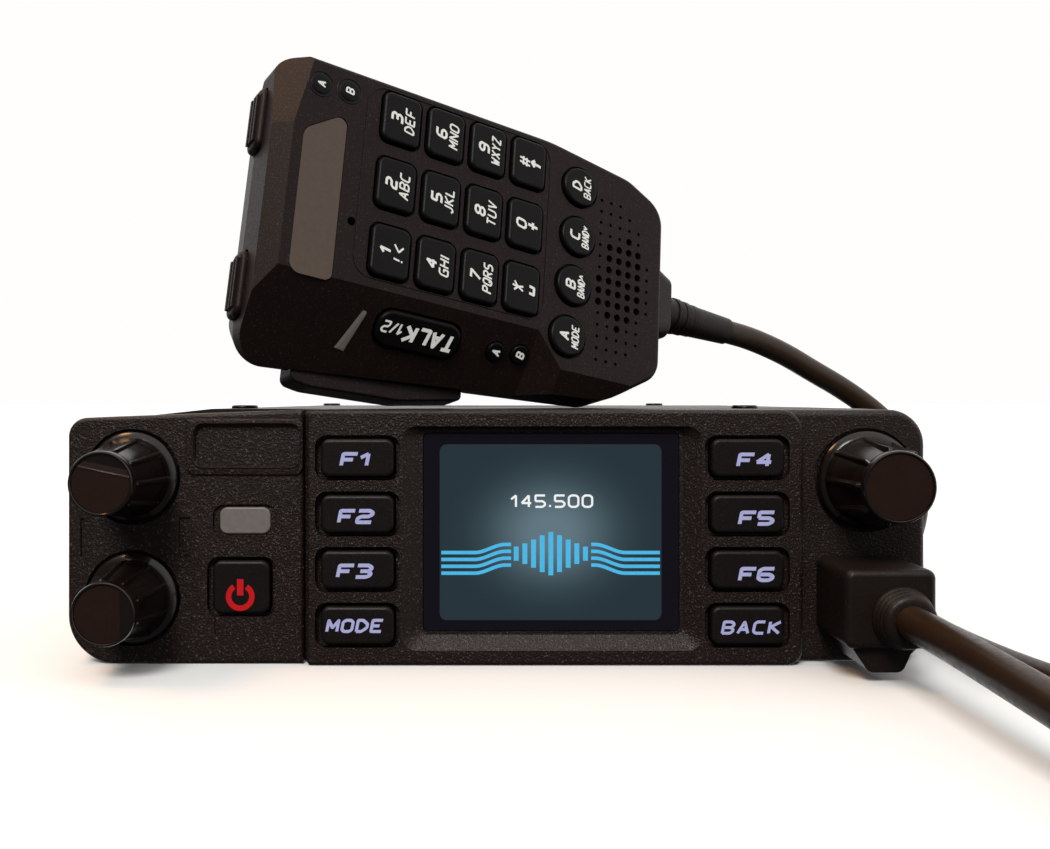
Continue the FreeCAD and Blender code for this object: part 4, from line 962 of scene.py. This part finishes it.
class TRANSCEIVER_OT_display(bpy.types.Operator):
    """Lit picture of the display: a reading and level lines"""
    bl_idname = "transceiver.display"
    bl_label = "Display picture"

    def execute(self, context):
        ground = soft_rectangle(41.0, 32.5, 1.3)
        picture = closed_loft(stepped(ground, ground, [(0, -0.2), (0, 0.03)]))
        add_piece("display_picture", [placed(picture, panel_plane(*PICTURE_MIDDLE, WINDOW_Y))],
                  "lit_screen", "radio")
        reading = lettering("145.500", 2.5 * MM, "reading", PICTURE_HIGH, PICTURE_LOW)
        legend("display_reading", [(reading, panel_plane(10.4, 30.1, WINDOW_Y))], "lit_reading", "radio",
               "display_body")
        add_piece("display_level", self.level(), "lit_level", "radio", smooth=False)
        return {"FINISHED"}

    def level(self):
        """Four lines from each side that rise by an S-curve, 3s^2 - 2s^3, to bars at the middle."""
        lines = []
        for outer, inner, low, high in LEVEL_SIDES:
            x = np.linspace(outer, inner, 40)
            share = np.clip((x - low) / (high - low), 0, 1)
            for row in range(LEVEL_ROWS):
                z = LEVEL_FOOT - LEVEL_PITCH * row + LEVEL_RISE * share * share * (3 - 2 * share)
                line = np.column_stack([x, z])
                lines.append((line if outer < inner else line[::-1], LINE_WIDTH))
        for i, tall in enumerate(BAR_HEIGHTS):
            x = BAR_MIDDLE[0] + (i - len(BAR_HEIGHTS) // 2) * BAR_PITCH
            low, high = BAR_MIDDLE[1] - tall / 2, BAR_MIDDLE[1] + tall / 2
            lines.append((np.array([[x, low], [x, high]]), BAR_WIDTH))
        where = panel_plane(0, 0, WINDOW_Y)
        return [placed(closed_loft(ribbon(line * MM, width, PICTURE_LOW, PICTURE_HIGH)), where)
                for line, width in lines]


# Each legend: text, x, z and style.
RADIO_LEGENDS = {
    "key_p1": ("F1", -25.5, 37.9, "short"), "key_p2": ("F2", -25.5, 27.5, "short"),
    "key_p3": ("F3", -25.7, 17.5, "short"), "key_menu": ("MODE", -25.7, 7.5, "word"),
    "key_p4": ("F4", 47.5, 37.8, "short"), "key_p5": ("F5", 47.8, 27.2, "short"),
    "key_p6": ("F6", 47.8, 16.9, "short"), "key_exit": ("BACK", 46.8, 7.2, "wide_word"),
}
POWER_RADIUS, POWER_GAP = 2.14 * MM, 33
POWER_STEM = (0.2 * MM, 3.2 * MM)
POWER_RING_WIDTH, POWER_STEM_WIDTH = 1.0 * MM, 1.2 * MM


class TRANSCEIVER_OT_radio_legends(bpy.types.Operator):
    """Printed legends of the radio's keys and its power symbol"""
    bl_idname = "transceiver.radio_legends"
    bl_label = "Radio legends"

    def execute(self, context):
        chosen = context.scene.transceiver.legends
        for node, (text, x, z, style) in RADIO_LEGENDS.items():
            some = lettering(text, chosen.radio_height, style, chosen.ink)
            legend("legend_" + node, [(some, panel_plane(x, z, KEY_Y))], "lavender_ink", node)
        angle = np.radians(np.linspace(90 - POWER_GAP, 90 - (360 - POWER_GAP), 48))
        ring = np.column_stack([np.cos(angle), np.sin(angle)]) * POWER_RADIUS
        stem = np.array([[0, height] for height in POWER_STEM])
        symbol = [closed_loft(ribbon(ring, POWER_RING_WIDTH, 0, chosen.ink)),
                  closed_loft(ribbon(stem, POWER_STEM_WIDTH, 0, chosen.ink))]
        legend("legend_power", [(symbol, panel_plane(-47.0, 12.6, POWER_KEY_Y))], "red_ink",
               "power_button")
        return {"FINISHED"}


# The microphone's keypad: names by row, where its first key is, its pitch, and the letters.
PAD_ROWS = (("1", "2", "3"), ("4", "5", "6"), ("7", "8", "9"), ("star", "0", "hash"))
PAD_START, PAD_PITCH = (-23.4, -3.5), (10.4, 14.5)
PAD_SIGNS = {"star": "*", "hash": "#"}
PAD_LETTERS = {"1": "! <", "2": "ABC", "3": "DEF", "4": "GHI", "5": "JKL", "6": "MNO", "7": "PQRS",
               "8": "TUV", "9": "WXYZ", "star": "_", "0": "+", "hash": "^"}
LETTER_STYLES = {1: "mark", 3: "letters", 4: "four_letters"}
# The round keys: middle, word and the word's style. The two small keys: place on the slope.
ROUND_KEYS = {"d": (21.8, 24.1, "BACK", "round_word"), "c": (21.8, 12.2, "BAND}", "round_long_word"),
              "b": (21.2, 0.5, "BAND{", "round_long_word"), "a": (20.2, -11.4, "MODE", "round_word")}
BAND_KEYS = {"a": (4.6, 0.6), "b": (10.4, 1.2)}
# How far a key's main character and the smaller line stand from its middle.
DIGIT_SHIFT, LETTER_SHIFT, ROUND_SHIFT = -1.3, 1.6, -1.2


class TRANSCEIVER_OT_mic_legends(bpy.types.Operator):
    """Printed legends of the microphone's keys"""
    bl_idname = "transceiver.mic_legends"
    bl_label = "Microphone legends"

    def execute(self, context):
        chosen = context.scene.transceiver.legends
        for row, names in enumerate(PAD_ROWS):
            for column, name in enumerate(names):
                u, v = PAD_START[0] + PAD_PITCH[0] * row, PAD_START[1] + PAD_PITCH[1] * column
                digit = lettering(PAD_SIGNS.get(name, name), chosen.digit_height,
                                  "sign" if name in PAD_SIGNS else "digit", chosen.ink)
                small = PAD_LETTERS[name]
                letters = lettering(small, chosen.letter_height, LETTER_STYLES[len(small)], chosen.ink)
                self.key(name, (digit, u + DIGIT_SHIFT, v), (letters, u + LETTER_SHIFT, v))
        for name, (u, v, text, style) in ROUND_KEYS.items():
            letter = lettering(name.upper(), 2.7 * MM, "round_letter", chosen.ink)
            word = lettering(text, 2.0 * MM, style, chosen.ink)
            self.key(name, (letter, u + ROUND_SHIFT, v), (word, u + LETTER_SHIFT, v))
        large = lettering("TALK", 3.9 * MM, "talk", chosen.ink)
        small = lettering("1/2", 2.6 * MM, "talk_figures", chosen.ink)
        legend("legend_mic_sub_ptt",
               [(large, bevel_plane(-11.4, 0.2, PAD_TOP, math.pi)),
                (small, bevel_plane(-19.9, 0.7, PAD_TOP, math.pi))], "white_ink", "mic_sub_ptt")
        for name, (u, y) in BAND_KEYS.items():
            mark = lettering(name.upper(), 2.1 * MM, "band", chosen.ink)
            legend("legend_mic_band_" + name, [(mark, bevel_plane(u, y, BAND_TOP, math.pi / 2))],
                   "white_ink", "mic_band_" + name, "side_key")
        return {"FINISHED"}

    def key(self, name, *lines):
        """The two printed lines of one key on the microphone's face."""
        legend("legend_mic_key_" + name, [(some, face_plane(u, v, PAD_TOP)) for some, u, v in lines],
               "white_ink", "mic_key_" + name)


# Lamps: middle of each, and (height, radius, rib) rows of the dome and of the ring round it.
LAMPS = {"a": (-41.3, 27.7), "b": (-35.2, 28.2)}
LAMP_DOME = [(-0.5, 2.2, 0), (0.05, 2.2, 0), (0.16, 2.0, 0), (0.22, 1.6, 0), (0.25, 0.8, 0),
             (0.25, 0.1, 0)]
LAMP_RING = [(-0.5, 2.8, 0), (0.02, 2.8, 0), (0.1, 2.65, 0), (0.02, 2.45, 0), (-0.5, 2.45, 0)]
LAMP_TOP, LAMP_INK = 0.25, 0.04 * MM
# The line round the keypad: its size, its size inside, and its low rounded section.
PAD_LINE, PAD_LINE_INSIDE = (45.0, 41.5), (44.4, 40.9)
PAD_LINE_SECTION = [(0, -0.2), (0.1, 0.12), (0.5, 0.16), (0.9, 0.12), (1, -0.2)]
# The light strip: its four corners, and how much of them is left at its crowned top.
STRIP = np.array([[-0.9, -4.7], [-1.3, 4.6], [-0.7, 4.8], [1.1, -4.2]])
STRIP_CROWN = (0.5, 0.95)


class TRANSCEIVER_OT_mic_details(bpy.types.Operator):
    """Lamps, keypad line and light strip of the microphone"""
    bl_idname = "transceiver.mic_details"
    bl_label = "Microphone details"

    def execute(self, context):
        for name, (u, v) in LAMPS.items():
            dome = closed_loft(turned(LAMP_DOME, 48, np.zeros_like) * MM)
            ring = closed_band(turned(LAMP_RING, 48, np.zeros_like) * MM)
            where = face_plane(u, v, 0.0)
            add_piece("mic_lamp_" + name, [placed(dome, where), placed(ring, where)],
                      "matt_silicone_rubber", "mic")
            mark = lettering(name.upper(), 1.9 * MM, "lamp", LAMP_INK)
            legend("legend_mic_lamp_" + name, [(mark, face_plane(u, v, LAMP_TOP))], "white_ink", "mic",
                   "moulded_case")
        line = soft_rectangle(*PAD_LINE, 4.0, 12)
        inside = line * (np.array(PAD_LINE_INSIDE) / PAD_LINE)
        band = closed_band(stepped(line, inside, PAD_LINE_SECTION))
        add_piece("mic_keypad_line", [placed(band, face_plane(-8.6, 11.0, 0.0, False))],
                  "fine_textured_abs", "mic")
        strip = closed_loft(stepped(STRIP, STRIP * STRIP_CROWN, [(0, -0.3), (0, 0.1), (1, 0.18)]))
        add_piece("mic_light_strip", [placed(strip, bevel_plane(-27.4, -2.2, 0.0, math.radians(-24)))],
                  "frosted_polycarbonate", "mic", smooth=False)
        return {"FINISHED"}


# The aerial socket's thread: x and z of its axis, y of its start, turns, radius and depth.
THREAD_X, THREAD_Z, THREAD_START = 45.0, 23.0, 98.6
THREAD_TURNS, THREAD_ROOT, THREAD_DEPTH = 9.5, 7.7, 0.45
# The section's corners: how far along the axis, and which of them stand on the crest.
THREAD_OFFSET, THREAD_CREST = np.array([-0.42, -0.1, 0.1, 0.42]), np.array([0, 1, 1, 0])


class TRANSCEIVER_OT_aerial_thread(bpy.types.Operator):
    """Screw thread on the barrel of the aerial socket: a ridge wound at one millimetre a turn"""
    bl_idname = "transceiver.aerial_thread"
    bl_label = "Aerial thread"

    def execute(self, context):
        angle = np.linspace(0, 2 * math.pi * THREAD_TURNS, 9 * 48)
        fade = np.clip(np.minimum(angle, angle[-1] - angle) / 1.5, 0, 1)
        radius = THREAD_ROOT + THREAD_DEPTH * fade[:, None] * THREAD_CREST
        y = THREAD_START + angle[:, None] / (2 * math.pi) + THREAD_OFFSET
        rings = np.stack([THREAD_X + radius * np.cos(angle)[:, None], y,
                          THREAD_Z + radius * np.sin(angle)[:, None]], axis=-1) * MM
        add_piece("aerial_thread", [closed_loft(rings[:, ::-1])], "nickel_plate", "radio")
        return {"FINISHED"}


class TRANSCEIVER_PT_panel(bpy.types.Panel):
    """Lists the pieces of the transceiver"""
    bl_idname = "TRANSCEIVER_PT_panel"
    bl_label = "Mobile transceiver"
    bl_space_type = "VIEW_3D"
    bl_region_type = "UI"
    bl_category = "Transceiver"

    def draw(self, context):
        for operator in OPERATORS:
            self.layout.operator(operator.bl_idname)


SETTINGS = (LeadSettings, KnobSettings, LegendSettings, ColourSettings, StageSettings,
            TransceiverSettings)
OPERATORS = (TRANSCEIVER_OT_stage, TRANSCEIVER_OT_casework, TRANSCEIVER_OT_lead, TRANSCEIVER_OT_knobs,
             TRANSCEIVER_OT_front_details, TRANSCEIVER_OT_display, TRANSCEIVER_OT_radio_legends,
             TRANSCEIVER_OT_mic_details, TRANSCEIVER_OT_mic_legends, TRANSCEIVER_OT_aerial_thread)


def register():
    for each in SETTINGS + OPERATORS + (TRANSCEIVER_PT_panel,):
        bpy.utils.register_class(each)
    bpy.types.Scene.transceiver = bpy.props.PointerProperty(type=TransceiverSettings)


def unregister():
    del bpy.types.Scene.transceiver
    for each in reversed(SETTINGS + OPERATORS + (TRANSCEIVER_PT_panel,)):
        bpy.utils.unregister_class(each)


def main():
    register()
    for operator in OPERATORS:
        group, name = operator.bl_idname.split(".")
        getattr(getattr(bpy.ops, group), name)()


if __name__ == "__main__":
    main()
